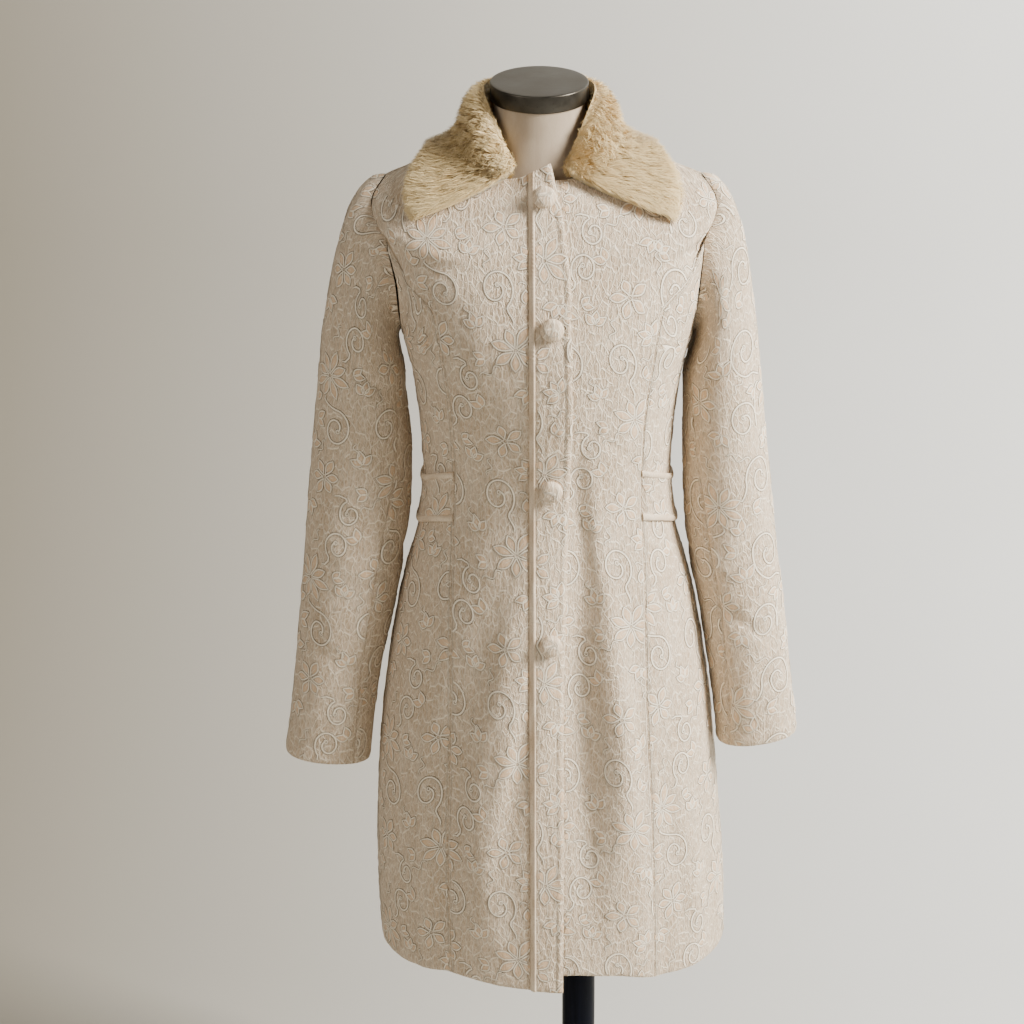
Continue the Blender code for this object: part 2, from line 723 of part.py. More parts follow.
def collar_section(neck_angle):
    """One section of the collar at an angle of the neck, as a closed line of points."""
    side = math.copysign(1.0, neck_angle)
    row = sizes_at(COLLAR_SECTIONS, abs(neck_angle))
    pile = row["pile"]
    edge_angle = side * row["edge_angle"]
    top_level = NECKLINE - COLLAR_BELOW_NECKLINE

    def on_coat(shares, out):
        share = np.array(shares)
        angle = edge_angle + (neck_angle - edge_angle) * share
        level = row["edge_level"] + (top_level - row["edge_level"]) * share
        return coat_point(angle, level, out)

    under = on_coat(COLLAR_UNDER_SHARES, COLLAR_CLEAR)
    over = on_coat(COLLAR_TOP_SHARES, COLLAR_CLEAR + pile)
    turn = math.radians(neck_angle)
    away = np.array([math.sin(turn), -math.cos(turn), 0.0])
    up = np.array([0.0, 0.0, 1.0])
    depth = ROLL_FRONT if math.cos(turn) > 0.0 else ROLL_BACK
    roll = away * (ROLL_HALF_WIDTH, depth, 0.0) + (CAP_TOP.x, 0.0, row["roll"])
    rim = ring_point(np.array(neck_angle), np.array(NECKLINE))
    rise = max(roll[2] - rim[2], ROLL_LEAST_RISE)
    stand = [
        rim + away * (COLLAR_CLEAR - CLOTH / 2) + up * STAND_LIFT,
        rim - away * STAND_INSIDE + up * STAND_LIFT,
        (rim + roll) / 2 - up * rise / 10,
        roll - up * rise / 7,
        roll + away * ROLL_THICKNESS / 3,
        roll + away * ROLL_THICKNESS - up * rise / 12,
    ]
    edge = coat_point(edge_angle, row["edge_level"], COLLAR_CLEAR + pile / 2)
    outward = under[0] - under[1]
    nose = edge + outward / np.linalg.norm(outward) * pile * COLLAR_NOSE
    return list(under) + stand + list(over) + [nose]


def add_collar():
    """The pile collar, from one front end round the back of the neck to the other."""
    first = column(COLLAR_SECTIONS, "neck_angle")[0]
    half = np.linspace(first, 180.0, COLLAR_STEPS + 1)
    angles = list(half) + [-angle for angle in half[::-1][1:]]
    rings = [collar_section(angle) for angle in angles]
    add_object("fur_collar", loft_mesh("fur_collar", rings), MATERIALS["fur"])


def button_mesh():
    """A domed button on a short shank, turned about +Z."""
    mesh = bpy.data.meshes.new("button")
    points = [(row["radius"], 0.0, row["height"]) for row in rows_of(BUTTON_PROFILE)]
    edges = [(i, i + 1) for i in range(len(points) - 1)]
    mesh.from_pydata(points, edges, [])
    mesh.materials.append(MATERIALS["cloth"])
    return mesh


def add_buttons():
    """Four covered buttons on the placket."""
    mesh = button_mesh()
    for number, row in enumerate(rows_of(BUTTONS), 1):
        x = row["x"]
        above = corner_height(x, level_at_height(row["height"]))
        level = level_at_height(row["height"] - above)
        angle = angle_at_x(level, x)
        seat = coat_point(angle, level, PLACKET_RISE + row["seat"])
        seat[2] += corner_height(x, level)
        out = coat_point(angle, level, 1.0) - coat_point(angle, level, 0.0)
        obj = bpy.data.objects.new(f"button_{number}", mesh)
        obj.location = seat
        obj.rotation_euler = Vector(out).to_track_quat("Z", "Y").to_euler()
        screw = obj.modifiers.new("turn", "SCREW")
        screw.steps = BUTTON_STEPS
        screw.render_steps = BUTTON_STEPS
        screw.use_merge_vertices = True
        screw.merge_threshold = 0.0001
        bpy.data.collections[COAT].objects.link(obj)


def form_point(angle, level):
    """A point of the form, inside the cloth."""
    normal = facing_out(ring_point, angle, level)
    clearance = curve_through(FORM_CLEARANCE, "clearance", level)
    from_side = np.abs(np.abs((angle + 180.0) % 360.0 - 180.0) - 90.0)
    on_ridge = (level >= SHOULDER_TIP - TINY) * (1.0 - ease(from_side / RIDGE_HALF_ANGLE))
    at_arm = (level > ARMPIT) & (level < SHOULDER_TIP - TINY)
    clearance = clearance + (SHOULDER_SEAT - clearance) * on_ridge
    clearance = clearance + ARM_INSET * at_arm * (1.0 - ease(from_side / ARM_HALF_ANGLE))
    return ring_point(angle, level) - normal * (CLOTH + clearance)[..., None]


def add_form():
    """The torso and neck in one body, cut off flat at the foot and at the neck's top."""
    angle = np.arange(0.0, 360.0, FORM_STEP)
    foot = np.linspace(FORM_FOOT, ARMPIT, FORM_ROWS + 1)
    beside = armhole_level(np.arange(180 - FORM_ARM_STEP, -1, -FORM_ARM_STEP))
    yoke = np.linspace(SHOULDER_TIP, NECKLINE, YOKE_ROWS + 1)[1:]
    levels = np.concatenate([foot, beside, yoke])
    rings = [form_point(angle, np.full_like(angle, level)) for level in levels]
    rings[0][:, 2] = FORM_FOOT
    for level in column(NECK_SECTIONS, "level"):
        rings.append(ring_point(angle, np.full_like(angle, level), NECK_SECTIONS))
    turn = np.radians(angle)
    y = -NECK_TOP_HALF_DEPTH * np.cos(turn)
    under_cap = CAP_TOP.z - (CAP_HEIGHT + SEAM) / math.cos(CAP_TILT)
    top = np.stack(
        [
            CAP_TOP.x + NECK_TOP_HALF_WIDTH * np.sin(turn),
            CAP_TOP.y + y,
            under_cap + y * math.tan(CAP_TILT),
        ],
        axis=-1,
    )
    rings.append(top)
    add_object("form_torso", loft_mesh("form_torso", rings), MATERIALS["linen"])


def add_disc(name, radius, height, centre, material, bevel, tilt=0.0, steps=36):
    """A round plate or post about its own axis, with rounded rims."""
    bm = bmesh.new()
    bmesh.ops.create_cone(
        bm, cap_ends=True, segments=steps, radius1=radius, radius2=radius, depth=height
    )
    obj = add_object(name, mesh_from(bm, name), MATERIALS[material])
    obj.location = centre
    obj.rotation_euler = Euler((tilt, 0.0, 0.0))
    rounding = obj.modifiers.new("rounding", "BEVEL")
    rounding.width = bevel
    rounding.segments = 2
    rounding.limit_method = "ANGLE"
    rounding.angle_limit = math.radians(60.0)
    return obj


def add_stand():
    """The neck cap, the post under the form and the round base."""
    axis = Euler((CAP_TILT, 0.0, 0.0)).to_matrix() @ Vector((0.0, 0.0, 1.0))
    add_disc(
        "form_neck_cap", CAP_RADIUS, CAP_HEIGHT, CAP_TOP - axis * CAP_HEIGHT / 2, "cap",
        0.0015, CAP_TILT,
    )
    post_low = BASE_HEIGHT + SEAM
    post_high = FORM_FOOT - SEAM
    add_disc(
        "stand_pole", POLE_RADIUS, post_high - post_low,
        Vector((POLE_X, 0.0, (post_low + post_high) / 2)), "pole", 0.0005, steps=24,
    )
    add_disc(
        "stand_base", BASE_RADIUS, BASE_HEIGHT, Vector((POLE_X, 0.0, BASE_HEIGHT / 2)),
        "pole", 0.003, steps=48,
    )


COAT = "coat_on_dress_form"
for old in list(bpy.data.objects):
    bpy.data.objects.remove(old, do_unlink=True)
bpy.context.scene.collection.children.link(bpy.data.collections.new(COAT))
MATERIALS = {
    "cloth": new_material("woven cloth", CLOTH_COLOUR, 0.85),
    "fur": new_material("long pile", FUR_COLOUR, 0.9),
    "linen": new_material("linen cover", LINEN_COLOUR, 0.9),
    "cap": new_material("brushed metal", CAP_COLOUR, 0.35, 1.0),
    "pole": new_material("dark lacquer", POLE_COLOUR, 0.4),
}
add_form()
add_stand()
add_fronts()
add_sides()
add_back()
add_sleeves()
add_placket()
add_waist_bands()
add_collar()
add_buttons()
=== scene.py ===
"""The looks of a fitted coat with a long-pile collar, on its limbless dress form.

Metres, +Z up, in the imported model's frame. The front faces -Y and +X is the wearer's left.
"""

import math
from dataclasses import dataclass

import bpy
import numpy as np
from mathutils import Euler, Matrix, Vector
from mathutils.kdtree import KDTree


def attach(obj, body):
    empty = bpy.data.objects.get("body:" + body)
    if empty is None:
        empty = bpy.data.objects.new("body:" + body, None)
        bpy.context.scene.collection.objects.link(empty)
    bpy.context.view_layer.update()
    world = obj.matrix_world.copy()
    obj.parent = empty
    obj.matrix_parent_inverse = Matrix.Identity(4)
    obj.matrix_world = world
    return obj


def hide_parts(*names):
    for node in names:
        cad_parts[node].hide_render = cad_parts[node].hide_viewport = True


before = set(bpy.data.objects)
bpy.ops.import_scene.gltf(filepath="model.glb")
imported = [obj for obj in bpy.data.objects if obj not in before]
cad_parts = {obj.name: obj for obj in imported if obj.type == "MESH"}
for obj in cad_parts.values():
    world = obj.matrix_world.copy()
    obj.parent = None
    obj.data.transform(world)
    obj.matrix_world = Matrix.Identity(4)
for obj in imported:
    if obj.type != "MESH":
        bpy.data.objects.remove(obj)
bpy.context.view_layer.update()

CHANCE = np.random.default_rng(7)

# Every table's first row names its columns.

# Driving sizes
CLOTH = 0.002
SEAM = 0.0003
LAP = 0.0009
HEM = 0.400
ARMPIT = 1.130
SHOULDER_TIP = 1.300
NECKLINE = 1.335
POLE_X = 0.038
POLE_RADIUS = 0.0195
BASE_RADIUS = 0.185
BASE_HEIGHT = 0.014
FORM_FOOT = 0.715
CAP_RADIUS = 0.0525
CAP_HEIGHT = 0.019
CAP_TILT = math.radians(9.0)
CAP_TOP = Vector((-0.008, -0.004, 1.400))

# Where the front pieces meet, as distances from the middle of the front
PLACKET_SEAM_X = -0.0200
UNDER_FRONT_X = -0.0080
PLACKET_RISE = 0.0027
PLACKET_CORNER = 0.018
CORNER_STARTS = 1.316
CORNER_FROM_X = -0.0340
PLACKET_EDGE = (
    ("level", "x"),
    (0.400, 0.0165),
    (0.600, 0.0175),
    (0.730, 0.0180),
    (0.860, 0.0210),
    (1.060, 0.0260),
    (1.160, 0.0245),
    (1.270, 0.0220),
    (1.310, 0.0165),
    (1.335, 0.0030),
)
PLACKET_RISES_BY = 0.22
WELT_WIDTH = 0.007
WELT_FROM_SEAM = 0.0005
WELT_RISES_BY = 0.9

# Waist bands
TAB_LOW = 0.910
TAB_HIGH = 0.966
TAB_WELT = 0.0075
TAB_WELT_GAP = 0.0005
PRINCESS_MEETS = 60
TINY = 1e-6

# The body's sections from hem to neck. The level is the height at the side; the drops are how
# much lower the ring runs at the middle of the front and of the back.
BODY_SECTIONS = (
    (
        "level", "centre_x", "half_width", "front", "back", "front_drop", "back_drop", "square",
    ),
    (0.400, 0.0070, 0.2020, 0.166, 0.163, 0.000, 0.000, 2.2),
    (0.470, 0.0045, 0.2025, 0.163, 0.162, 0.000, 0.000, 2.2),
    (0.575, 0.0010, 0.1980, 0.158, 0.160, 0.000, 0.000, 2.2),
    (0.700, 0.0000, 0.1870, 0.148, 0.153, 0.000, 0.000, 2.2),
    (0.780, 0.0000, 0.1750, 0.139, 0.145, 0.000, 0.000, 2.2),
    (0.850, 0.0000, 0.1600, 0.127, 0.133, -0.018, 0.000, 2.2),
    (0.905, 0.0000, 0.1440, 0.117, 0.118, -0.030, 0.000, 2.2),
    (0.945, 0.0000, 0.1372, 0.116, 0.109, -0.033, 0.000, 2.2),
    (0.990, 0.0000, 0.1380, 0.122, 0.108, -0.030, 0.000, 2.2),
    (1.045, 0.0000, 0.1420, 0.130, 0.114, -0.018, 0.000, 2.2),
    (1.090, 0.0000, 0.1485, 0.134, 0.120, -0.008, 0.000, 2.3),
    (1.130, 0.0000, 0.1580, 0.134, 0.124, 0.000, 0.000, 2.4),
    (1.190, 0.0000, 0.1690, 0.125, 0.123, 0.015, 0.010, 2.6),
    (1.250, -0.0020, 0.1745, 0.111, 0.115, 0.035, 0.025, 2.8),
    (1.300, -0.0040, 0.1690, 0.096, 0.102, 0.050, 0.035, 2.8),
    (1.313, -0.0050, 0.1350, 0.084, 0.089, 0.039, 0.012, 2.5),
    (1.325, -0.0060, 0.1020, 0.073, 0.073, 0.033, 0.000, 2.2),
    (1.335, -0.0080, 0.0760, 0.064, 0.058, 0.030, -0.010, 2.0),
)

# The form's neck carries on above the neckline with the same columns
NECK_SECTIONS = (
    (
        "level", "centre_x", "half_width", "front", "back", "front_drop", "back_drop", "square",
    ),
    (1.346, -0.0080, 0.0580, 0.054, 0.048, 0.024, -0.010, 2.0),
    (1.360, -0.0080, 0.0500, 0.050, 0.045, 0.012, -0.006, 2.0),
)
NECK_TOP_HALF_WIDTH = 0.0475
NECK_TOP_HALF_DEPTH = 0.0470

# How far the form stands inside the cloth
FORM_CLEARANCE = (
    ("level", "clearance"),
    (0.700, 0.0240),
    (0.780, 0.0170),
    (0.850, 0.0120),
    (0.945, 0.0070),
    (1.045, 0.0060),
    (1.130, 0.0080),
    (1.250, 0.0100),
    (1.300, 0.0065),
    (1.335, 0.0035),
)
SHOULDER_SEAT = 0.0005
RIDGE_HALF_ANGLE = 15.0
ARM_HALF_ANGLE = 45.0
ARM_INSET = 0.006

# Soft folds, as troughs (minus) and ridges (plus) of the whole surface. Angles run from the
# middle of the front towards the wearer's left.
FOLDS = (
    ("angle", "low", "high", "half_angle", "depth", "drift"),
    (13.0, 0.440, 0.980, 5.0, -0.0095, 6.0),
    (25.0, 0.380, 0.860, 7.0, 0.0055, -10.0),
    (37.0, 0.250, 0.620, 6.0, -0.0045, 8.0),
    (-15.0, 0.430, 0.900, 7.0, 0.0060, 40.0),
    (-31.0, 0.420, 0.860, 7.0, -0.0050, 30.0),
    (-44.0, 0.240, 0.640, 7.0, 0.0040, -12.0),
    (-60.0, 1.120, 1.240, 8.0, -0.0040, 0.0),
    (133.0, 0.240, 0.760, 8.0, -0.0060, 10.0),
    (152.0, 0.260, 0.820, 9.0, 0.0050, -6.0),
    (176.0, 0.230, 0.860, 9.0, -0.0060, 4.0),
    (-156.0, 0.250, 0.800, 9.0, 0.0055, 6.0),
    (-134.0, 0.240, 0.740, 8.0, -0.0055, -10.0),
)

# The front princess seam, as the distance from the middle at each level
PRINCESS = (
    ("level", "front_x", "back_x"),
    (0.400, 0.1230, 0.1180),
    (0.550, 0.1180, 0.1120),
    (0.700, 0.1100, 0.1020),
    (0.850, 0.1060, 0.0900),
    (0.960, 0.1020, 0.0800),
    (1.050, 0.1050, 0.0880),
    (1.130, 0.1140, 0.1040),
    (1.190, 0.1220, 0.1200),
    (1.225, 0.1320, 0.1320),
    (1.260, 0.1450, 0.1450),
)
PRINCESS_TURNS = 1.180
PRINCESS_TIP = 0.0025

# The hem runs a little uneven, and the right front hangs lower than the left
LIFT_RIGHT = (
    ("angle", "lift"),
    (-90.0, 0.000),
    (-55.0, 0.004),
    (-36.0, 0.013),
    (-18.0, 0.005),
    (0.0, 0.000),
    (12.0, 0.000),
)
LIFT_LEFT = (
    ("angle", "lift"),
    (-6.0, 0.020),
    (8.0, 0.020),
    (22.0, 0.015),
    (34.0, 0.004),
    (90.0, 0.000),
)
LIFT_FADES = 0.12

# The armhole
ARMHOLE_FRONT = 0.050
ARMHOLE_BACK = 0.053
ARMHOLE_GAP = 0.0006

# The sleeves' rings below the armhole, with each arm's own place and width
SLEEVE_SECTIONS = (
    ("level", "right_x", "right_half", "left_x", "left_half", "centre_y", "half_depth"),
    (0.638, 0.2520, 0.0480, 0.2400, 0.0455, -0.030, 0.0400),
    (0.700, 0.2430, 0.0475, 0.2345, 0.0450, -0.026, 0.0430),
    (0.760, 0.2345, 0.0490, 0.2270, 0.0460, -0.020, 0.0460),
    (0.820, 0.2245, 0.0530, 0.2185, 0.0475, -0.014, 0.0490),
    (0.880, 0.2160, 0.0560, 0.2080, 0.0495, -0.008, 0.0520),
    (0.940, 0.2090, 0.0570, 0.2020, 0.0490, -0.004, 0.0540),
    (1.000, 0.2050, 0.0550, 0.1975, 0.0465, -0.001, 0.0560),
    (1.070, 0.2040, 0.0480, 0.1930, 0.0430, 0.000, 0.0580),
)
CUFF_RIGHT = 0.638
CUFF_LEFT = 0.659
SLEEVE_TILT = 0.115
BACK_ARM_SEAM = 240
ARM_RADIUS = 0.045

# How the sleeve leaves the armhole: its slopes there and at its widest ring, and how far each
# slope reaches as a share of the way between them
CAP_OPENS = 0.25
CAP_LIFTS = 0.16
CAP_FALLS = 0.50
CAP_REACH = 0.53
ARM_LEANS = 0.10
ARM_REACH = 1.33

# The front seam swings forward at the elbow. Down runs from 0 at the armhole over 1 at the
# widest ring to 2 at the cuff, and the turn from the sleeve's outer side to its front.
SLEEVE_SEAM = (
    ("down", "turn"),
    (0.00, 150.0),
    (1.00, 147.0),
    (1.15, 138.0),
    (1.30, 127.0),
    (1.45, 122.0),
    (1.75, 125.0),
    (2.00, 133.0),
)

# The collar, from its front end to the middle of the back. Each section runs from the roll
# line down to the outer edge, which lies on the coat at an angle and a level.
COLLAR_SECTIONS = (
    ("neck_angle", "edge_angle", "edge_level", "roll", "pile"),
    (27.0, 47.5, 1.3015, 1.320, 0.010),
    (40.0, 59.0, 1.3060, 1.345, 0.013),
    (60.0, 74.0, 1.3120, 1.374, 0.014),
    (90.0, 92.0, 1.3180, 1.392, 0.015),
    (120.0, 116.0, 1.3150, 1.396, 0.015),
    (150.0, 147.0, 1.3110, 1.398, 0.015),
    (180.0, 180.0, 1.3100, 1.398, 0.015),
)
COLLAR_CLEAR = 0.0016
COLLAR_BELOW_NECKLINE = 0.0005
COLLAR_UNDER_SHARES = (0.0, 0.2, 0.4, 0.6, 0.8, 1.0)
COLLAR_TOP_SHARES = (0.85, 0.65, 0.45, 0.25, 0.1, 0.0)
COLLAR_NOSE = 0.35
STAND_LIFT = 0.0012
STAND_INSIDE = 0.004
ROLL_LEAST_RISE = 0.006
ROLL_THICKNESS = 0.015
ROLL_HALF_WIDTH = 0.0560
ROLL_FRONT = 0.060
ROLL_BACK = 0.058

# Buttons on the placket
BUTTONS = (
    ("height", "x", "seat"),
    (1.2950, -0.0035, 0.0024),
    (1.1600, 0.0040, 0.0008),
    (0.9800, 0.0030, 0.0011),
    (0.8090, 0.0020, 0.0008),
)

# A button's outline, from the top of its dome to its shank
BUTTON_PROFILE = (
    ("radius", "height"),
    (0.0000, 0.0088),
    (0.0060, 0.0080),
    (0.0100, 0.0060),
    (0.0122, 0.0038),
    (0.0125, 0.0026),
    (0.0112, 0.0015),
    (0.0045, 0.0015),
    (0.0045, 0.0000),
    (0.0000, 0.0000),
)


# How finely the cloth is divided, and how its edges are rolled
GRID = 0.0037
INNER_SKIP = 4
EDGE_STEPS = (0.0, 0.0008, 0.0018, 0.0034)
EDGE_ROLL = 0.0010
EDGE_WIDTH = 0.0016
EDGE_PUFF = 0.0003
NARROW = 0.012

# The raised pattern
RIPPLE = 0.00018
LEAST_RISE = 0.3
SEARCH_STEPS = 5
LINE_WIDTH = 0.0042
LINE_HEIGHT = 0.00048
LINE_SEAT = 0.00014
LINE_TAPER = 0.004
LINE_MARGIN = 0.0012
# Across a raised line: its height, and its tone, which paints shade into the grooves at both sides
# (minus) and lightens the line's top (plus).
LINE_SECTION = (
    ("aside", "height", "tone"),
    (-0.40, 0.0, -0.8),
    (-0.13, 1.0, 1.0),
    (0.13, 1.0, 1.0),
    (0.40, 0.0, -0.8),
)

# A petal's or leaf's filling, puffed on both sides of its vein
FILL_SEAT = 0.00010
FILL_PUFF = 0.00050
FILL_INSET = 0.0004
FILL_SECTION = (
    ("aside", "height"),
    (-1.0, 0.1),
    (-0.5, 1.0),
    (0.0, 0.35),
    (0.5, 1.0),
    (1.0, 0.1),
)

# Creases of the body, each a soft trough (minus) or ridge (plus) about a point of the cloth.
# Slant 0 runs straight down; lengths and widths are halves, in metres.
CREASES = (
    ("angle", "level", "slant", "length", "width", "depth"),
    (-62.0, 1.205, 24.0, 0.055, 0.010, -0.0030),
    (-54.0, 1.190, 20.0, 0.060, 0.009, 0.0018),
    (-70.0, 1.150, 40.0, 0.040, 0.008, -0.0020),
    (62.0, 1.200, -26.0, 0.050, 0.010, -0.0022),
    (55.0, 1.180, -22.0, 0.045, 0.009, 0.0012),
    (-30.0, 1.100, 12.0, 0.070, 0.016, 0.0014),
    (-22.0, 1.010, -20.0, 0.060, 0.010, -0.0014),
    (-38.0, 0.990, 55.0, 0.045, 0.008, -0.0012),
    (-40.0, 0.880, -50.0, 0.050, 0.009, -0.0014),
    (20.0, 1.030, 16.0, 0.070, 0.010, -0.0016),
    (36.0, 0.985, -52.0, 0.045, 0.008, -0.0012),
    (30.0, 0.885, 40.0, 0.050, 0.009, -0.0016),
    (18.0, 0.860, -6.0, 0.110, 0.011, -0.0030),
    (9.5, 0.740, 3.0, 0.150, 0.014, -0.0040),
    (6.0, 0.760, 3.0, 0.150, 0.014, -0.0040),
    (24.0, 0.740, -4.0, 0.150, 0.013, 0.0055),
    (-20.0, 0.720, 9.0, 0.110, 0.012, 0.0036),
    (-11.0, 0.640, 9.0, 0.100, 0.010, -0.0026),
    (24.0, 0.640, 4.0, 0.120, 0.012, 0.0030),
    (44.0, 0.540, -4.0, 0.090, 0.011, -0.0028),
    (52.0, 0.470, 3.0, 0.070, 0.010, 0.0024),
    (62.0, 0.520, -2.0, 0.090, 0.012, -0.0022),
    (-8.0, 0.700, 4.0, 0.120, 0.010, -0.0022),
    (-24.0, 0.610, -5.0, 0.140, 0.012, 0.0030),
    (-38.0, 0.660, 6.0, 0.100, 0.011, -0.0024),
    (-50.0, 0.470, -4.0, 0.070, 0.011, -0.0026),
    (-66.0, 0.560, 3.0, 0.090, 0.012, 0.0022),
    (84.0, 0.700, 2.0, 0.120, 0.014, -0.0020),
    (-86.0, 0.640, -3.0, 0.110, 0.013, -0.0022),
    (118.0, 1.190, 28.0, 0.050, 0.010, -0.0026),
    (-120.0, 1.200, -26.0, 0.055, 0.010, -0.0026),
    (160.0, 1.010, 50.0, 0.050, 0.009, -0.0016),
    (-158.0, 1.000, -48.0, 0.045, 0.009, -0.0016),
    (178.0, 0.970, 80.0, 0.050, 0.008, -0.0014),
    (146.0, 0.800, -8.0, 0.110, 0.012, -0.0028),
    (164.0, 0.600, 5.0, 0.120, 0.012, 0.0028),
    (-168.0, 0.640, -4.0, 0.130, 0.013, -0.0026),
    (-146.0, 0.560, 6.0, 0.100, 0.011, 0.0024),
    (124.0, 0.520, -4.0, 0.090, 0.011, -0.0024),
    (-122.0, 0.500, 4.0, 0.080, 0.011, -0.0024),
)
BODY_PER_DEGREE = 0.0028

# Creases of the sleeves. The turn runs from the outer side to the front, and down from 0 at the
# armhole over 1 at the widest ring to 2 at the cuff.
SLEEVE_CREASES = (
    ("side", "turn", "down", "slant", "length", "width", "depth"),
    (-1, 92.0, 1.34, 62.0, 0.045, 0.009, -0.0030),
    (-1, 70.0, 1.42, 48.0, 0.050, 0.009, 0.0020),
    (-1, 104.0, 1.52, -58.0, 0.040, 0.008, -0.0028),
    (-1, 40.0, 1.60, 30.0, 0.060, 0.010, -0.0022),
    (-1, 96.0, 1.72, 70.0, 0.040, 0.008, -0.0022),
    (-1, 60.0, 1.84, -30.0, 0.040, 0.010, 0.0016),
    (-1, 64.0, 0.50, -24.0, 0.045, 0.010, -0.0022),
    (-1, 30.0, 0.72, -12.0, 0.060, 0.011, 0.0016),
    (-1, 108.0, 0.92, 34.0, 0.050, 0.010, -0.0028),
    (-1, 200.0, 1.40, -60.0, 0.050, 0.010, -0.0030),
    (-1, 300.0, 1.36, 58.0, 0.050, 0.010, -0.0024),
    (-1, 280.0, 0.60, 24.0, 0.050, 0.010, -0.0022),
    (1, 84.0, 1.46, 56.0, 0.045, 0.009, -0.0030),
    (1, 64.0, 1.55, 40.0, 0.050, 0.009, 0.0022),
    (1, 96.0, 1.64, -52.0, 0.042, 0.008, -0.0030),
    (1, 50.0, 1.70, 24.0, 0.050, 0.009, -0.0026),
    (1, 74.0, 1.82, 68.0, 0.040, 0.008, -0.0022),
    (1, 30.0, 1.88, -34.0, 0.040, 0.010, 0.0016),
    (1, 60.0, 0.52, -24.0, 0.045, 0.010, -0.0020),
    (1, 40.0, 0.98, -8.0, 0.110, 0.012, -0.0022),
    (1, 110.0, 0.90, 34.0, 0.050, 0.010, -0.0026),
    (1, 205.0, 1.42, -60.0, 0.050, 0.010, -0.0030),
    (1, 290.0, 1.40, 58.0, 0.050, 0.010, -0.0024),
    (1, 275.0, 0.60, 24.0, 0.050, 0.010, -0.0022),
)
SLEEVE_PER_DEGREE = 0.00085
SLEEVE_PER_DOWN = 0.42
CUFF_WAVE = 0.0016

# The placket's stitched dip and rolled edge, and the waist band's ends
STITCH_DIP = 0.0005
STITCH_INSET = 0.0078
STITCH_DIP_WIDTH = 0.0012
EDGE_LIFT = 0.0004
EDGE_LIFT_INSET = 0.0034
TAB_END_DIP = 0.0024
TAB_END_WIDTH = 0.0060
BAND_LENGTH = 0.24
STRIP_SINKS = 0.0010

# Lines along a piece's edges: raised seam lines and stitches, at a distance from the edge
EDGE_LINES = (
    ("cloth", "edge", "inset", "share", "stitched"),
    ("front_placket", "end", 0.0078, 0.24, 1),
    ("front_left", "end", 0.0024, 0.42, 0),
    ("side_front_left", "start", 0.0024, 0.42, 0),
    ("front_left", "end", 0.0052, 0.24, 1),
    ("side_front_left", "start", 0.0052, 0.24, 1),
    ("front_right", "start", 0.0024, 0.30, 0),
    ("side_front_right", "end", 0.0024, 0.30, 0),
    ("back", "start", 0.0050, 0.24, 1),
    ("back", "end", 0.0050, 0.24, 1),
    ("waist_tab_left", "end", 0.0040, 0.24, 1),
    ("waist_tab_right", "start", 0.0040, 0.24, 1),
)
STITCH_LENGTH = 0.0024
STITCH_SPACING = 0.0034

# The corded strips
CORD_RISE = 0.0015
CORD_TWIST = 0.0044
CORD_RIB = 0.00032

# The collar's pile
SKIN_FULLNESS = 0.62
COLLAR_TOP = slice(6, 19)
STRANDS = 52000
TUFTS = 3600
STRAND_LENGTH = 0.0150
STRAND_WIDTH = 0.00066
ROW_WIDTH = 0.0040
WISP = 0.0016
FRINGE = 0.0032
END_FRINGE = 0.0050
END_SHARE = 0.12
HOLLOW_FILL = 0.0065
HOLLOW_AT = 19.0
HOLLOW_WIDTH = 6.0
PILE_TURNS = 120
PILE_PLACES = 40
PILE_POINTS = list(range(7, 19))
PILE_MIDDLE = PILE_TURNS / 2
PILE_CREST = 13.0
PILE_OUTER_PLACE = 30
PILE_END_CROWD = 30.0
PILE_END_FADE = 2.0
PILE_PLACE_BIAS = 0.92
TUFT_SWAY = 0.24
TUFT_SPREAD = 0.35
TUFT_PULL = (0.05, 0.40)
STRAND_SWAY = 0.14
STRAND_TWIST = 0.25
STRAND_KNEE_ALONG = 0.25
STRAND_KNEE_LIFT = 0.65
STRAND_SHARES = (0.0, 0.35, 0.7, 1.0)
STRAND_TAPER = (1.0, 0.9, 0.6, 0.0)
STRAND_POINTS = 7
SKIN_TURNS = 96
COVER_ANGLE_STEP = 5.0
COVER_ROWS = 28
COVER_YOKE_ROWS = 10
COVER_NECK_ROWS = 5
COVER_SCALE = 0.0026

# The studio
SWEEP_BACK = 1.5
SWEEP_RADIUS = 0.9
SWEEP_REACH = 6.0

# The photograph's view
CAMERA_PLACE = (-0.035, -2.72, 1.847)
CAMERA_PITCH = 18.9
CAMERA_ROLL = 0.25
CAMERA_LENS = 90.0


def rows_of(table):
    """A table's rows, each by column name."""
    return [dict(zip(table[0], row)) for row in table[1:]]


def column(table, name):
    return np.array([row[name] for row in rows_of(table)])


def curve_through(table, name, at):
    """The smooth curve of a named column over a table's first one."""
    xs = column(table, table[0][0])
    ys = column(table, name)
    slopes = np.gradient(ys, xs)
    at = np.clip(at, xs[0], xs[-1])
    i = np.clip(np.searchsorted(xs, at) - 1, 0, len(xs) - 2)
    span = xs[i + 1] - xs[i]
    t = (at - xs[i]) / span
    start = (2 * t**3 - 3 * t**2 + 1) * ys[i] + (t**3 - 2 * t**2 + t) * span * slopes[i]
    end = (3 * t**2 - 2 * t**3) * ys[i + 1] + (t**3 - t**2) * span * slopes[i + 1]
    return start + end


def sizes_at(table, at):
    """Every size in a table at a value of its first column."""
    return {name: curve_through(table, name, at) for name in table[0][1:]}


def ease(t):
    t = np.clip(t, 0.0, 1.0)
    return t * t * (3.0 - 2.0 * t)


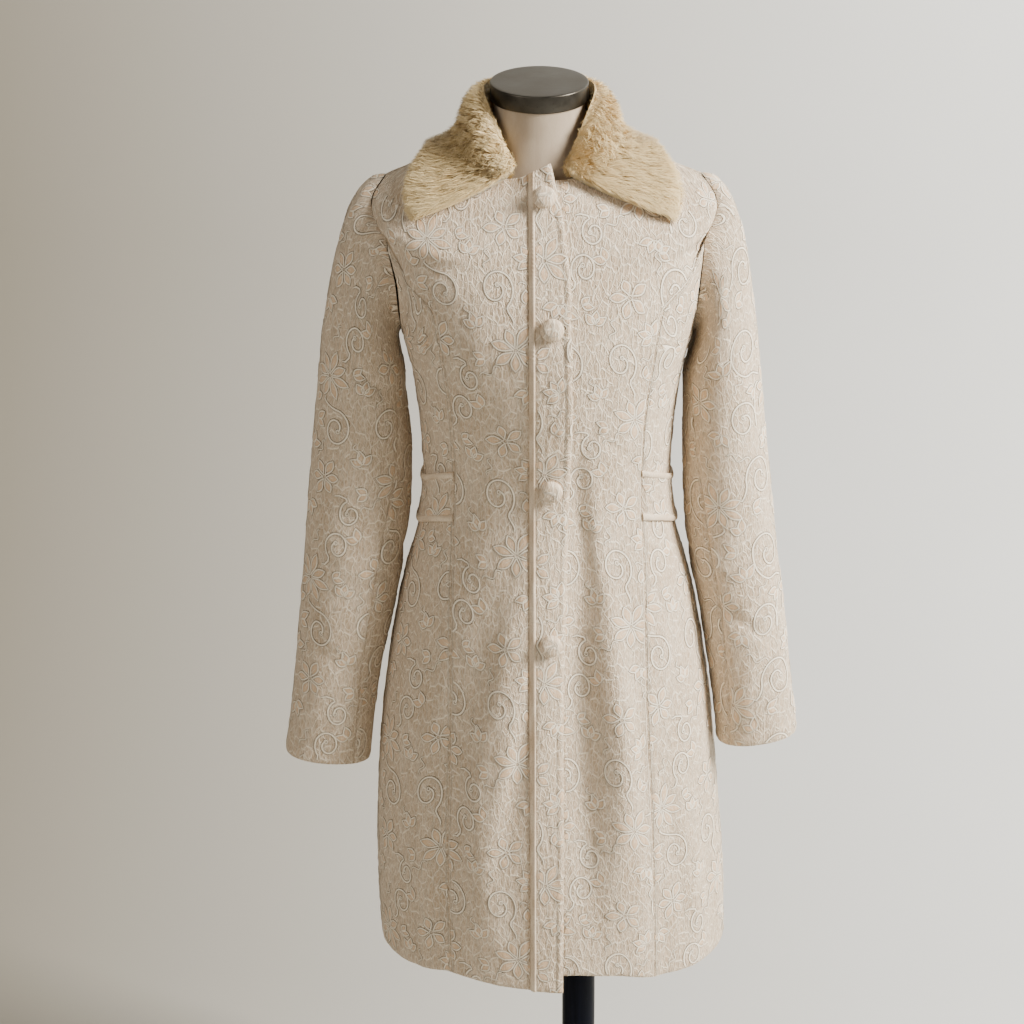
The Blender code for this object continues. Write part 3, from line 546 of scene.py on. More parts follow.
def fold_height(angle, level):
    """How far the main folds move the surface out at an angle in degrees and a level."""
    total = np.zeros(np.broadcast(angle, level).shape)
    for row in rows_of(FOLDS):
        middle = 0.5 * (row["low"] + row["high"])
        along = np.clip((level - row["low"]) / (row["high"] - row["low"]), 0.0, 1.0)
        away = (angle - row["angle"] - row["drift"] * (level - middle) + 180.0) % 360.0 - 180.0
        total += row["depth"] * np.sin(math.pi * along) * np.exp(-((away / row["half_angle"]) ** 2))
    return total


def ring_point(angle, level, table=BODY_SECTIONS):
    """A point of the smooth body at an angle in degrees from the middle of the front."""
    size = sizes_at(table, level)
    turn = np.radians(angle)
    sine = np.sin(turn)
    cosine = np.cos(turn)
    power = size["square"]
    reach = (np.abs(sine) ** power + np.abs(cosine) ** power) ** (-1.0 / power)
    depth = np.where(cosine > 0.0, size["front"], size["back"])
    drop = np.where(cosine > 0.0, size["front_drop"], size["back_drop"]) * ease(np.abs(cosine))
    return np.stack(
        [
            size["centre_x"] + size["half_width"] * reach * sine,
            -depth * reach * cosine,
            level - drop,
        ],
        axis=-1,
    )


def folded_point(angle, level):
    """A point of the body's outer face, with the folds."""
    turn = np.radians(angle)
    out = np.stack([np.sin(turn), -np.cos(turn), np.zeros_like(turn)], axis=-1)
    return ring_point(angle, level) + out * fold_height(angle, level)[..., None]


def facing_out(point_at, angle, level):
    """The outward normal of a surface given as a function of angle and level."""
    turn = 0.25
    rise = 0.0008
    across = point_at(angle + turn, level) - point_at(angle - turn, level)
    up = point_at(angle, level + rise) - point_at(angle, level - rise)
    normal = np.cross(across, up)
    return normal / np.linalg.norm(normal, axis=-1, keepdims=True)


def coat_point(angle, level, out=0.0):
    """A point at a distance out from the coat's outer face."""
    angle = np.asarray(angle, dtype=float)
    level = np.asarray(level, dtype=float)
    angle, level = np.broadcast_arrays(angle, level)
    normal = facing_out(folded_point, angle, level)
    return folded_point(angle, level) + normal * np.broadcast_to(out, angle.shape)[..., None]


def angle_at_x(level, x, back=False):
    """The angle at which the front (or back) of the body has this x."""
    size = sizes_at(BODY_SECTIONS, level)
    power = size["square"]
    part = np.clip((x - size["centre_x"]) / size["half_width"], -0.9999, 0.9999)
    rest = (1.0 - np.abs(part) ** power) ** (1.0 / power)
    angle = np.degrees(np.arctan2(np.abs(part), rest))
    return np.sign(part) * (180.0 - angle if back else angle)


def armhole_level(turn):
    """The armhole's level at a turn in degrees, from 0 at the shoulder to 180 at the armpit."""
    return ARMPIT + (SHOULDER_TIP - ARMPIT) * 0.5 * (1.0 + np.cos(np.radians(turn)))


def armhole_angle(level, back=False):
    """The body angle of the armhole's edge, on the wearer's left."""
    share = np.clip((level - ARMPIT) / (SHOULDER_TIP - ARMPIT), 0.0, 1.0)
    depth = (ARMHOLE_BACK if back else ARMHOLE_FRONT) * 2.0 * np.sqrt(share * (1.0 - share))
    size = sizes_at(BODY_SECTIONS, level)
    power = size["square"]
    part = depth / size["back" if back else "front"]
    rest = (1.0 - part**power) ** (1.0 / power)
    angle = np.degrees(np.arctan2(rest, part))
    return 180.0 - angle if back else angle


def princess_angle(level, back=False):
    """The body angle of a princess seam, on the wearer's left."""
    x = curve_through(PRINCESS, "back_x" if back else "front_x", level)
    angle = angle_at_x(level, x, back)
    edge = armhole_angle(level, back)
    tip = seam_turn(level, edge, PRINCESS_TIP)
    meets = armhole_level(PRINCESS_MEETS)
    share = ease((level - PRINCESS_TURNS) / (meets - PRINCESS_TURNS))
    return angle + (edge + np.where(back, tip, -tip) - angle) * share


def level_at_height(height):
    """The level at which the middle of the front has this height."""
    levels = np.linspace(HEM, NECKLINE, 200)
    return np.interp(height, ring_point(0.0 * levels, levels)[:, 2], levels)


def hem_lift(angle, level, lift):
    """How far the rows near the hem are raised."""
    fade = 1.0 - ease((level - HEM) / LIFT_FADES)
    return np.interp(angle, column(lift, "angle"), column(lift, "lift")) * fade


def seam_turn(level, angle, gap):
    """The angle that a gap takes up along the cloth."""
    step = 0.5
    across = ring_point(angle + step, level) - ring_point(angle - step, level)
    return gap * 2.0 * step / np.linalg.norm(across, axis=-1)


def corner_height(x, level):
    """How far the right front's upper corner stands above the neckline."""
    across = (x - CORNER_FROM_X) / (column(PLACKET_EDGE, "x")[-1] - CORNER_FROM_X)
    up = ease((level - CORNER_STARTS) / (NECKLINE - CORNER_STARTS))
    return PLACKET_CORNER * np.clip(across, 0.0, 1.0) * up


def sleeve_ring(level, turn, side):
    """A point of a sleeve below its cap. The turn runs from the outer side to the front."""
    row = sizes_at(SLEEVE_SECTIONS, level)
    arm = "left" if side > 0 else "right"
    across = row[arm + "_half"] * np.cos(np.radians(turn))
    return np.stack(
        [
            side * (row[arm + "_x"] + across),
            row["centre_y"] - row["half_depth"] * np.sin(np.radians(turn)),
            level + SLEEVE_TILT * across,
        ],
        axis=-1,
    )


def sleeve_point(turn, down, side):
    """A point of a sleeve's outer face.

    Down runs from 0 at the armhole over 1 at the widest ring to 2 at the cuff.
    """
    turn = np.asarray(turn, dtype=float)
    down = np.asarray(down, dtype=float)
    turn, down = np.broadcast_arrays(turn, down)
    turn = turn % 360.0
    widest = column(SLEEVE_SECTIONS, "level")[-1]
    cuff = CUFF_LEFT if side > 0 else CUFF_RIGHT
    level = armhole_level(turn)
    angle = np.where(turn <= 180.0, armhole_angle(level), armhole_angle(level, back=True))
    start = folded_point(side * angle, level)
    half_way = 0.5 * (ARMPIT + SHOULDER_TIP)
    middle = ring_point(np.full_like(angle, side * 90.0), half_way)
    inward = middle - start
    inward[..., 0] = 0.0
    inward /= np.linalg.norm(inward, axis=-1, keepdims=True)
    sine = np.sin(np.radians(turn))
    cosine = np.cos(np.radians(turn))
    top_share = 0.5 * (1.0 + cosine)
    start = start + inward * ARMHOLE_GAP * (1.0 - top_share[..., None])
    start[..., 0] += side * ARMHOLE_GAP * (0.2 + top_share)
    end = sleeve_ring(np.full_like(level, widest), turn, side)
    length = np.linalg.norm(end - start, axis=-1)
    upward = CAP_LIFTS * top_share - CAP_FALLS * (1.0 - top_share)
    leaves = np.stack([side * np.ones_like(turn), -CAP_OPENS * sine, upward], axis=-1)
    hangs = np.stack(
        [np.full_like(turn, side * ARM_LEANS), np.zeros_like(turn), -np.ones_like(turn)],
        axis=-1,
    )
    t = np.clip(down, 0.0, 1.0)[..., None]
    reach = length[..., None]
    cap = (2 * t**3 - 3 * t**2 + 1) * start + (3 * t**2 - 2 * t**3) * end
    cap += (t**3 - 2 * t**2 + t) * leaves * CAP_REACH * reach
    cap += (t**3 - t**2) * hangs * ARM_REACH * reach
    below = widest + (cuff - widest) * np.clip(down - 1.0, 0.0, 1.0)
    arm = sleeve_ring(below, turn, side)
    return np.where((down <= 1.0)[..., None], cap, arm)


def sleeve_facing(turn, down, side):
    """The outward normal of a sleeve."""
    low = np.clip(down - 0.01, 0.0, 2.0)
    high = np.clip(down + 0.01, 0.0, 2.0)
    along = sleeve_point(turn, high, side) - sleeve_point(turn, low, side)
    around = sleeve_point(turn + 1.0, down, side) - sleeve_point(turn - 1.0, down, side)
    normal = np.cross(around, along) * side
    return normal / np.linalg.norm(normal, axis=-1, keepdims=True)


def collar_section(neck_angle, fullness=1.0):
    """One section of the collar at an angle of the neck, as a closed line of points."""
    side = math.copysign(1.0, neck_angle)
    row = sizes_at(COLLAR_SECTIONS, abs(neck_angle))
    pile = row["pile"] * fullness
    edge_angle = side * row["edge_angle"]
    top_level = NECKLINE - COLLAR_BELOW_NECKLINE

    def on_coat(shares, out):
        share = np.array(shares)
        angle = edge_angle + (neck_angle - edge_angle) * share
        level = row["edge_level"] + (top_level - row["edge_level"]) * share
        return coat_point(angle, level, out)

    under = on_coat(COLLAR_UNDER_SHARES, COLLAR_CLEAR)
    over = on_coat(COLLAR_TOP_SHARES, COLLAR_CLEAR + pile)
    turn = math.radians(neck_angle)
    away = np.array([math.sin(turn), -math.cos(turn), 0.0])
    up = np.array([0.0, 0.0, 1.0])
    depth = ROLL_FRONT if math.cos(turn) > 0.0 else ROLL_BACK
    roll = away * (ROLL_HALF_WIDTH, depth, 0.0) + (CAP_TOP.x, 0.0, row["roll"])
    rim = ring_point(np.array(neck_angle), np.array(NECKLINE))
    rise = max(roll[2] - rim[2], ROLL_LEAST_RISE)
    stand = [
        rim + away * (COLLAR_CLEAR - CLOTH / 2) + up * STAND_LIFT,
        rim - away * STAND_INSIDE + up * STAND_LIFT,
        (rim + roll) / 2 - up * rise / 10,
        roll - up * rise / 7,
        roll + away * ROLL_THICKNESS * fullness / 3,
        roll + away * ROLL_THICKNESS * fullness - up * rise / 12,
    ]
    edge = coat_point(edge_angle, row["edge_level"], COLLAR_CLEAR + pile / 2)
    outward = under[0] - under[1]
    nose = edge + outward / np.linalg.norm(outward) * pile * COLLAR_NOSE
    return list(under) + stand + list(over) + [nose]


def form_point(angle, level):
    """A point of the form, inside the cloth."""
    normal = facing_out(ring_point, angle, level)
    clearance = curve_through(FORM_CLEARANCE, "clearance", level)
    from_side = np.abs(np.abs((angle + 180.0) % 360.0 - 180.0) - 90.0)
    on_ridge = (level >= SHOULDER_TIP - TINY) * (1.0 - ease(from_side / RIDGE_HALF_ANGLE))
    at_arm = (level > ARMPIT) & (level < SHOULDER_TIP - TINY)
    clearance = clearance + (SHOULDER_SEAT - clearance) * on_ridge
    clearance = clearance + ARM_INSET * at_arm * (1.0 - ease(from_side / ARM_HALF_ANGLE))
    return ring_point(angle, level) - normal * (CLOTH + clearance)[..., None]

# The jacquard's repeat: flowers, scrolls, sprigs and curls on a tile that joins its neighbours
REPEAT_WIDTH = 0.190
REPEAT_HEIGHT = 0.235
FLOWERS = (
    ("x", "y", "petals", "length", "width", "turn"),
    (0.046, 0.056, 7, 0.0230, 0.0100, 12.0),
    (0.142, 0.170, 8, 0.0240, 0.0090, 30.0),
    (0.150, 0.054, 6, 0.0180, 0.0090, 5.0),
    (0.034, 0.186, 5, 0.0180, 0.0095, 40.0),
)
SCROLLS = (
    ("x", "y", "radius", "turns", "start", "hand", "stem_x", "stem_y", "stem_turn"),
    (0.100, 0.030, 0.0200, 1.35, 200.0, -1, 0.066, 0.066, 20.0),
    (0.088, 0.108, 0.0250, 1.45, 250.0, 1, 0.062, 0.074, 10.0),
    (0.026, 0.120, 0.0190, 1.35, -50.0, 1, 0.044, 0.082, 60.0),
    (0.158, 0.112, 0.0180, 1.35, 95.0, -1, 0.138, 0.146, 230.0),
    (0.086, 0.196, 0.0220, 1.45, -10.0, 1, 0.118, 0.176, 250.0),
    (0.176, 0.214, 0.0150, 1.30, 230.0, -1, 0.158, 0.190, 300.0),
    (0.186, 0.018, 0.0130, 1.20, 110.0, 1, 0.166, 0.036, 60.0),
)
SPRIGS = (
    ("x", "y", "turn", "leaves", "spread", "length", "width"),
    (0.120, 0.084, 70.0, 3, 52.0, 0.0165, 0.0085),
    (0.062, 0.152, 150.0, 4, 46.0, 0.0160, 0.0085),
    (0.118, 0.138, 60.0, 2, 60.0, 0.0150, 0.0085),
    (0.004, 0.076, 110.0, 3, 50.0, 0.0150, 0.0080),
    (0.128, 0.020, 300.0, 3, 50.0, 0.0150, 0.0085),
    (0.060, 0.012, 250.0, 3, 50.0, 0.0150, 0.0080),
    (0.186, 0.156, 80.0, 3, 46.0, 0.0140, 0.0080),
    (0.010, 0.222, 140.0, 2, 60.0, 0.0150, 0.0085),
    (0.076, 0.062, 330.0, 2, 56.0, 0.0140, 0.0080),
    (0.126, 0.116, 10.0, 2, 58.0, 0.0150, 0.0080),
    (0.056, 0.104, 60.0, 2, 54.0, 0.0130, 0.0075),
    (0.104, 0.162, 170.0, 2, 56.0, 0.0140, 0.0080),
    (0.064, 0.232, 30.0, 3, 48.0, 0.0140, 0.0075),
    (0.172, 0.176, 20.0, 2, 50.0, 0.0120, 0.0070),
    (0.014, 0.044, 190.0, 2, 56.0, 0.0130, 0.0075),
)
CURLS = (
    ("x", "y", "length", "height", "turn"),
    (0.112, 0.224, 0.0300, 0.0045, 20.0),
    (0.066, 0.222, 0.0240, 0.0040, 100.0),
    (0.016, 0.152, 0.0220, 0.0040, 80.0),
    (0.186, 0.088, 0.0240, 0.0040, 100.0),
    (0.018, 0.030, 0.0260, 0.0040, 30.0),
    (0.140, 0.086, 0.0220, 0.0035, 60.0),
    (0.104, 0.070, 0.0200, 0.0035, 130.0),
    (0.058, 0.128, 0.0200, 0.0030, 20.0),
    (0.148, 0.218, 0.0220, 0.0035, 60.0),
)
SCROLL_TALL = 1.22
SCROLL_EYE = 0.0038
BULB_RADIUS = 0.0021
FLOWER_EYE = 0.0026
LEAF_POINTS = 7
VEIN_WIDTH = 0.45


def turned(points, degrees, x, y):
    """Points turned about the origin and then moved."""
    turn = math.radians(degrees)
    cosine = math.cos(turn)
    sine = math.sin(turn)
    return np.stack(
        [
            x + cosine * points[..., 0] - sine * points[..., 1],
            y + sine * points[..., 0] + cosine * points[..., 1],
        ],
        axis=-1,
    )


def circle(x, y, radius, steps=9):
    turn = np.linspace(0.0, 2.0 * math.pi, steps)
    return np.stack([x + radius * np.cos(turn), y + radius * np.sin(turn)], axis=-1)


def leaf_lines(length, width, fullest, base):
    """A pointed leaf along +X: its outline, and the vein inside it."""
    share = np.linspace(0.0, 1.0, LEAF_POINTS)
    half = 0.5 * width * np.sin(math.pi * share**fullest)
    there = np.stack([base + length * share, half], axis=-1)
    back = np.stack([base + length * share[::-1], -half[::-1]], axis=-1)
    outline = np.concatenate([there, back[1:]])
    vein = np.stack([base + length * share[1:-2], 0.06 * width * np.sin(6.0 * share[1:-2])], axis=-1)
    return outline, vein


def scroll_line(row):
    """A stem that winds into a tall spiral, and the bulb at its end."""
    share = np.linspace(0.0, 1.0, int(26 * row["turns"]))
    turn = np.radians(row["start"] + row["hand"] * 360.0 * row["turns"] * share)
    radius = SCROLL_EYE + (row["radius"] - SCROLL_EYE) * (1.0 - share) ** 0.85
    winding = np.stack(
        [row["x"] + radius * np.cos(turn), row["y"] + SCROLL_TALL * radius * np.sin(turn)],
        axis=-1,
    )
    stem = np.array([row["stem_x"], row["stem_y"]])
    reach = np.linalg.norm(winding[0] - stem)
    leaves = np.array(
        [math.cos(math.radians(row["stem_turn"])), math.sin(math.radians(row["stem_turn"]))]
    )
    arrives = winding[1] - winding[0]
    arrives = arrives / np.linalg.norm(arrives)
    t = np.linspace(0.0, 1.0, max(4, int(reach / 0.0035)))[:-1, None]
    lead = (2 * t**3 - 3 * t**2 + 1) * stem + (3 * t**2 - 2 * t**3) * winding[0]
    lead += (t**3 - 2 * t**2 + t) * leaves * reach + (t**3 - t**2) * arrives * reach
    return np.concatenate([lead, winding])


def line_patch(points, share):
    """A raised line with a groove on either side, as (flat grid, height, tone, fill); the tone paints
    shade into the grooves.
    """
    section = rows_of(LINE_SECTION)
    aside = np.array([row["aside"] for row in section])
    height = np.array([row["height"] for row in section])
    tone = np.array([row["tone"] for row in section])
    tangent = np.gradient(points, axis=0)
    side = np.stack([tangent[:, 1], -tangent[:, 0]], axis=-1)
    side /= np.maximum(np.linalg.norm(side, axis=-1, keepdims=True), TINY)
    steps = np.linalg.norm(np.diff(points, axis=0), axis=-1)
    reach = np.concatenate([[0.0], np.cumsum(steps)])
    taper = np.minimum(1.0, np.minimum(reach, reach[-1] - reach) / LINE_TAPER + 0.25)
    width = LINE_WIDTH * share * (0.5 + 0.5 * taper)
    grid = points[:, None] + side[:, None] * (width[:, None] * aside)[..., None]
    up = LINE_SEAT + LINE_HEIGHT * min(share, 1.0) * taper[:, None] * height
    groove_shade_and_top_tones = tone * (0.5 + 0.5 * share) + np.zeros_like(up)
    return grid, up, groove_shade_and_top_tones, np.zeros_like(up)


def fill_patch(length, width, fullest, base):
    """The puffed inside of a leaf along +X, as (flat grid, height, tone, fill)."""
    section = rows_of(FILL_SECTION)
    aside = np.array([row["aside"] for row in section])
    height = np.array([row["height"] for row in section])
    share = np.linspace(0.0, 1.0, LEAF_POINTS)
    half = np.maximum(0.5 * width * np.sin(math.pi * share**fullest) - FILL_INSET, 0.0)
    x = (base + length * share)[:, None] + np.zeros_like(aside)
    grid = np.stack([x, half[:, None] * aside], axis=-1)
    up = FILL_SEAT + FILL_PUFF * (half / half.max())[:, None] * height
    return grid, up, np.zeros_like(up), np.ones_like(up)


def leaf_patches(row, degrees, size, fullest, base):
    """One leaf or petal of a table's row: its filling, outline and vein."""
    length = row["length"] * size
    outline, vein = leaf_lines(length, row["width"], fullest, base)
    grid, *rest = fill_patch(length, row["width"], fullest, base)
    return [
        (turned(grid, degrees, row["x"], row["y"]), *rest),
        line_patch(turned(outline, degrees, row["x"], row["y"]), 1.0),
        line_patch(turned(vein, degrees, row["x"], row["y"]), VEIN_WIDTH),
    ]


def jacquard_patches():
    """Every raised line and filled petal of the tile."""
    patches = []
    for row in rows_of(FLOWERS):
        patches.append(line_patch(circle(row["x"], row["y"], FLOWER_EYE, 8), 0.7))
        for number in range(row["petals"]):
            degrees = row["turn"] + 360.0 * number / row["petals"]
            size = 1.0 + 0.12 * math.sin(2.4 * number + row["turn"])
            patches += leaf_patches(row, degrees, size, 1.25, FLOWER_EYE)
    for row in rows_of(SCROLLS):
        line = scroll_line(row)
        patches.append(line_patch(line, 1.15))
        patches.append(line_patch(circle(line[-1, 0], line[-1, 1], BULB_RADIUS), 0.9))
    for row in rows_of(SPRIGS):
        middle = 0.5 * (row["leaves"] - 1)
        for number in range(row["leaves"]):
            degrees = row["turn"] + row["spread"] * (number - middle)
            size = 1.0 + 0.1 * math.cos(3.0 * number + row["turn"])
            patches += leaf_patches(row, degrees, size, 0.8, 0.0015)
    for row in rows_of(CURLS):
        share = np.linspace(0.0, 1.0, 15)
        wave = row["height"] * np.sin(3.0 * math.pi * share) * (0.6 + 0.4 * share)
        points = np.stack([row["length"] * (share - 0.5), wave], axis=-1)
        patches.append(line_patch(turned(points, row["turn"], row["x"], row["y"]), 0.8))
    return patches


@dataclass
class Cloth:
    """A piece of cloth: its outer grid, its coarser inner grid and where each point was cut."""

    name: str
    outer: np.ndarray
    inner: np.ndarray
    across: np.ndarray
    along: np.ndarray
    shift: tuple

    def flat_size(self):
        """The cut's greatest width, its length and its area."""
        width = self.across[:, -1] - self.across[:, 0]
        length = self.along.max() - self.along.min()
        rise = np.abs(np.diff(self.along.mean(axis=1)))
        area = np.sum(0.5 * (width[1:] + width[:-1]) * rise)
        return float(width.max()), float(length), float(area)


def soft_height(place, rows, per_degree, per_row):
    """The height of a table's creases at a place given as (turn in degrees, row)."""
    turn, row = place
    total = np.zeros(np.broadcast(turn, row).shape)
    for crease in rows:
        aside = ((turn - crease["turn"] + 180.0) % 360.0 - 180.0) * per_degree
        below = (row - crease["row"]) * per_row
        slant = math.radians(crease["slant"])
        along = below * math.cos(slant) + aside * math.sin(slant)
        across = aside * math.cos(slant) - below * math.sin(slant)
        near = (along / crease["length"]) ** 2 + (across / crease["width"]) ** 2
        total += crease["depth"] * np.exp(-near)
    return total


def body_creases(angle, level):
    rows = [dict(row, turn=row["angle"], row=row["level"]) for row in rows_of(CREASES)]
    return soft_height((angle, level), rows, BODY_PER_DEGREE, 1.0)


def sleeve_creases(turn, down, side):
    rows = [dict(row, row=row["down"]) for row in rows_of(SLEEVE_CREASES) if row["side"] == side]
    height = soft_height((turn, down), rows, SLEEVE_PER_DEGREE, SLEEVE_PER_DOWN)
    at_cuff = ease((down - 1.86) / 0.14)
    return height + CUFF_WAVE * at_cuff * np.sin(np.radians(3.0 * turn + 40.0 * side))


def ripples(across, along):
    """The fine lengthwise crinkle of the ground, in metres of the flat cut."""
    drift = 1.6 * np.sin(along * 61.0 + across * 23.0) + 0.9 * np.sin(along * 143.0)
    fine = np.sin(across * 640.0 + drift) * (0.6 + 0.4 * np.sin(along * 210.0 + across * 90.0))
    broad = np.sin(across * 260.0 + 1.3 * drift + 2.0 * np.sin(along * 34.0))
    return RIPPLE * (fine + 0.8 * broad)


def spread(start, end, rows, place, columns):
    """Angles that part each row's width evenly, closer together at its two edges."""
    share = np.linspace(0.0, 1.0, 61)
    angle = start[:, None] + (end - start)[:, None] * share
    points = place(angle, rows[:, None] * np.ones_like(angle), 0.0)
    steps = np.linalg.norm(np.diff(points, axis=1), axis=-1)
    reach = np.concatenate([np.zeros((len(rows), 1)), np.cumsum(steps, axis=1)], axis=1)
    width = reach[:, -1:]
    near = np.array(EDGE_STEPS) * np.minimum(1.0, width / NARROW)
    inside = np.linspace(0.0, 1.0, columns - 2 * len(EDGE_STEPS) + 2)[1:-1]
    last = near[:, -1:]
    distance = np.concatenate(
        [near, last + (width - 2.0 * last) * inside, width - near[:, ::-1]], axis=1
    )
    angles = [np.interp(d, r, a) for d, r, a in zip(distance, reach, angle)]
    return np.array(angles), distance, width


def whole_steps(length, step):
    """A number of points that a skip of the inner grid divides."""
    return INNER_SKIP * max(3, round(length / step / INNER_SKIP)) + 1


def lay_cloth(name, rows, start, end, width, place, shift, rise=None, hem_first=True, grid=GRID,
              grain=0.5):
    """Lays a piece between two edges, with its rolled edges and its crinkle.

    The grain is the share of the width at which the flat cut's upright axis stands.
    """
    columns = whole_steps(width, grid)
    angle, from_start, full = spread(start, end, rows, place, columns)
    across = from_start - grain * full
    row = rows[:, None] * np.ones_like(angle)
    steps = np.linalg.norm(np.diff(place(angle, row, 0.0), axis=0), axis=-1)
    aside = np.diff(across, axis=0)
    upright = np.sqrt(np.maximum(steps**2 - aside**2, (LEAST_RISE * steps) ** 2))
    along = np.concatenate([np.zeros((1, columns)), np.cumsum(upright, axis=0)])
    if not hem_first:
        along = along[-1] - along
    edge = np.minimum(np.minimum(from_start, full - from_start), along)
    roll = -EDGE_ROLL * np.exp(-((edge / EDGE_WIDTH) ** 2))
    roll += EDGE_PUFF * np.exp(-(((edge - 0.006) / 0.003) ** 2))
    lift = rise(from_start, full) if rise else np.zeros_like(across)
    outer = place(angle, row, lift + roll + ripples(across, along))
    few = (slice(None, None, INNER_SKIP), slice(None, None, INNER_SKIP))
    inner = place(angle[few], row[few], (lift - CLOTH)[few])
    return Cloth(name, outer, inner, across, along, shift)


def wall_faces(outer_shape, inner_shape):
    """The faces of a closed wall between a fine outer grid and a coarser inner one."""
    rows, columns = outer_shape
    few_rows, few_columns = inner_shape
    front = np.arange(rows * columns).reshape(rows, columns)
    rear = rows * columns + np.arange(few_rows * few_columns).reshape(few_rows, few_columns)
    faces = [
        np.stack([front[:-1, :-1], front[:-1, 1:], front[1:, 1:], front[1:, :-1]], -1),
        np.stack([rear[:-1, :-1], rear[1:, :-1], rear[1:, 1:], rear[:-1, 1:]], -1),
    ]
    faces = [group.reshape(-1, 4) for group in faces]
    rims = (
        (front[0][::-1], rear[0][::-1]),
        (front[:, -1][::-1], rear[:, -1][::-1]),
        (front[-1], rear[-1]),
        (front[:, 0], rear[:, 0]),
    )
    for fine, coarse in rims:
        skip = (len(fine) - 1) // (len(coarse) - 1)
        count = len(coarse) - 1
        strip = [fine[i * skip:(i + 1) * skip + 1] for i in range(count)]
        ends = [[coarse[i + 1], coarse[i]] for i in range(count)]
        faces.append(np.concatenate([np.array(strip), np.array(ends)], axis=1))
    return faces


def mesh_from(name, points, faces, uv=None, values=None):
    """A mesh from points and groups of faces, each group with one number of corners."""
    mesh = bpy.data.meshes.new(name)
    points = np.asarray(points, dtype=np.float32).reshape(-1, 3)
    corners = np.concatenate([np.ravel(group) for group in faces]).astype(np.int32)
    sizes = np.concatenate([np.full(len(group), len(group[0])) for group in faces])
    starts = np.concatenate([[0], np.cumsum(sizes)[:-1]]).astype(np.int32)
    mesh.vertices.add(len(points))
    mesh.vertices.foreach_set("co", points.ravel())
    mesh.loops.add(len(corners))
    mesh.loops.foreach_set("vertex_index", corners)
    mesh.polygons.add(len(starts))
    mesh.polygons.foreach_set("loop_start", starts)
    if uv is not None:
        layer = mesh.uv_layers.new(name="flat")
        layer.data.foreach_set("uv", np.asarray(uv, dtype=np.float32)[corners].ravel())
    for label, value in (values or {}).items():
        attribute = mesh.attributes.new(label, "FLOAT", "POINT")
        attribute.data.foreach_set("value", np.asarray(value, dtype=np.float32).ravel())
    mesh.update(calc_edges=True)
    mesh.shade_smooth()
    mesh.set_sharp_from_angle(angle=math.radians(50.0))
    return mesh


def outward(outer, inner, faces):
    """The same faces, turned round if the first of them faces inwards."""
    a, b, c = outer[0, 0], outer[0, 1], outer[1, 0]
    facing = np.dot(np.cross(b - a, c - a), a - inner[0, 0])
    return faces if facing > 0.0 else [group[:, ::-1] for group in faces]


def cloth_object(cloth, material):
    """The piece as a closed thin shell."""
    faces = wall_faces(cloth.outer.shape[:2], cloth.inner.shape[:2])
    faces = outward(cloth.outer, cloth.inner, faces)
    uv = np.stack([cloth.across, cloth.along], axis=-1) + cloth.shift
    few = uv[::INNER_SKIP, ::INNER_SKIP]
    points = np.concatenate([cloth.outer.reshape(-1, 3), cloth.inner.reshape(-1, 3)])
    both = np.concatenate([uv.reshape(-1, 2), few.reshape(-1, 2)])
    mesh = mesh_from(cloth.name, points, faces, both)
    return show(cloth.name, mesh, material)


def show(name, mesh, material):
    """Links a mesh as a piece of the coat or of its stand."""
    mesh.materials.append(material)
    obj = bpy.data.objects.new(name, mesh)
    bpy.context.scene.collection.objects.link(obj)
    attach(obj, "root")
    return obj


def grid_normals(points):
    across = np.gradient(points, axis=1)
    along = np.gradient(points, axis=0)
    normal = np.cross(across, along)
    return normal / np.maximum(np.linalg.norm(normal, axis=-1, keepdims=True), 1e-12)


def on_grid(grid, row, place):
    """A grid's value at fractional rows and columns."""
    i = np.clip(np.floor(row).astype(int), 0, grid.shape[0] - 2)
    j = np.clip(np.floor(place).astype(int), 0, grid.shape[1] - 2)
    s = (row - i)[:, None]
    t = (place - j)[:, None]
    low = grid[i, j] * (1.0 - t) + grid[i, j + 1] * t
    high = grid[i + 1, j] * (1.0 - t) + grid[i + 1, j + 1] * t
    return low * (1.0 - s) + high * s


def column_at(across, row, u):
    """The fractional column of each point, from its row and its distance across."""
    low = np.clip(np.floor(row).astype(int), 0, len(across) - 2)
    order = np.argsort(low, kind="stable")
    bounds = np.searchsorted(low[order], np.arange(len(across)))
    columns = np.arange(across.shape[1])
    place = np.zeros(len(u))
    for number in np.unique(low):
        chosen = order[bounds[number]:bounds[number + 1]]
        first = np.interp(u[chosen], across[number], columns)
        second = np.interp(u[chosen], across[number + 1], columns)
        place[chosen] = first + (second - first) * (row[chosen] - number)
    return place


def on_cloth(cloth, flat):
    """The fractional row and column of flat points, and how far past the piece each lies."""
    middle = cloth.along[:, cloth.along.shape[1] // 2]
    order = np.argsort(middle)
    row = np.interp(flat[:, 1], middle[order], order.astype(float))
    slope = np.gradient(cloth.along, axis=0)
    for _ in range(SEARCH_STEPS):
        place = column_at(cloth.across, row, flat[:, 0])
        miss = flat[:, 1] - on_grid(cloth.along[..., None], row, place)[:, 0]
        step = miss / on_grid(slope[..., None], row, place)[:, 0]
        row = np.clip(row + step, 0.0, len(slope) - 1.0)
    return row, place, np.abs(miss)


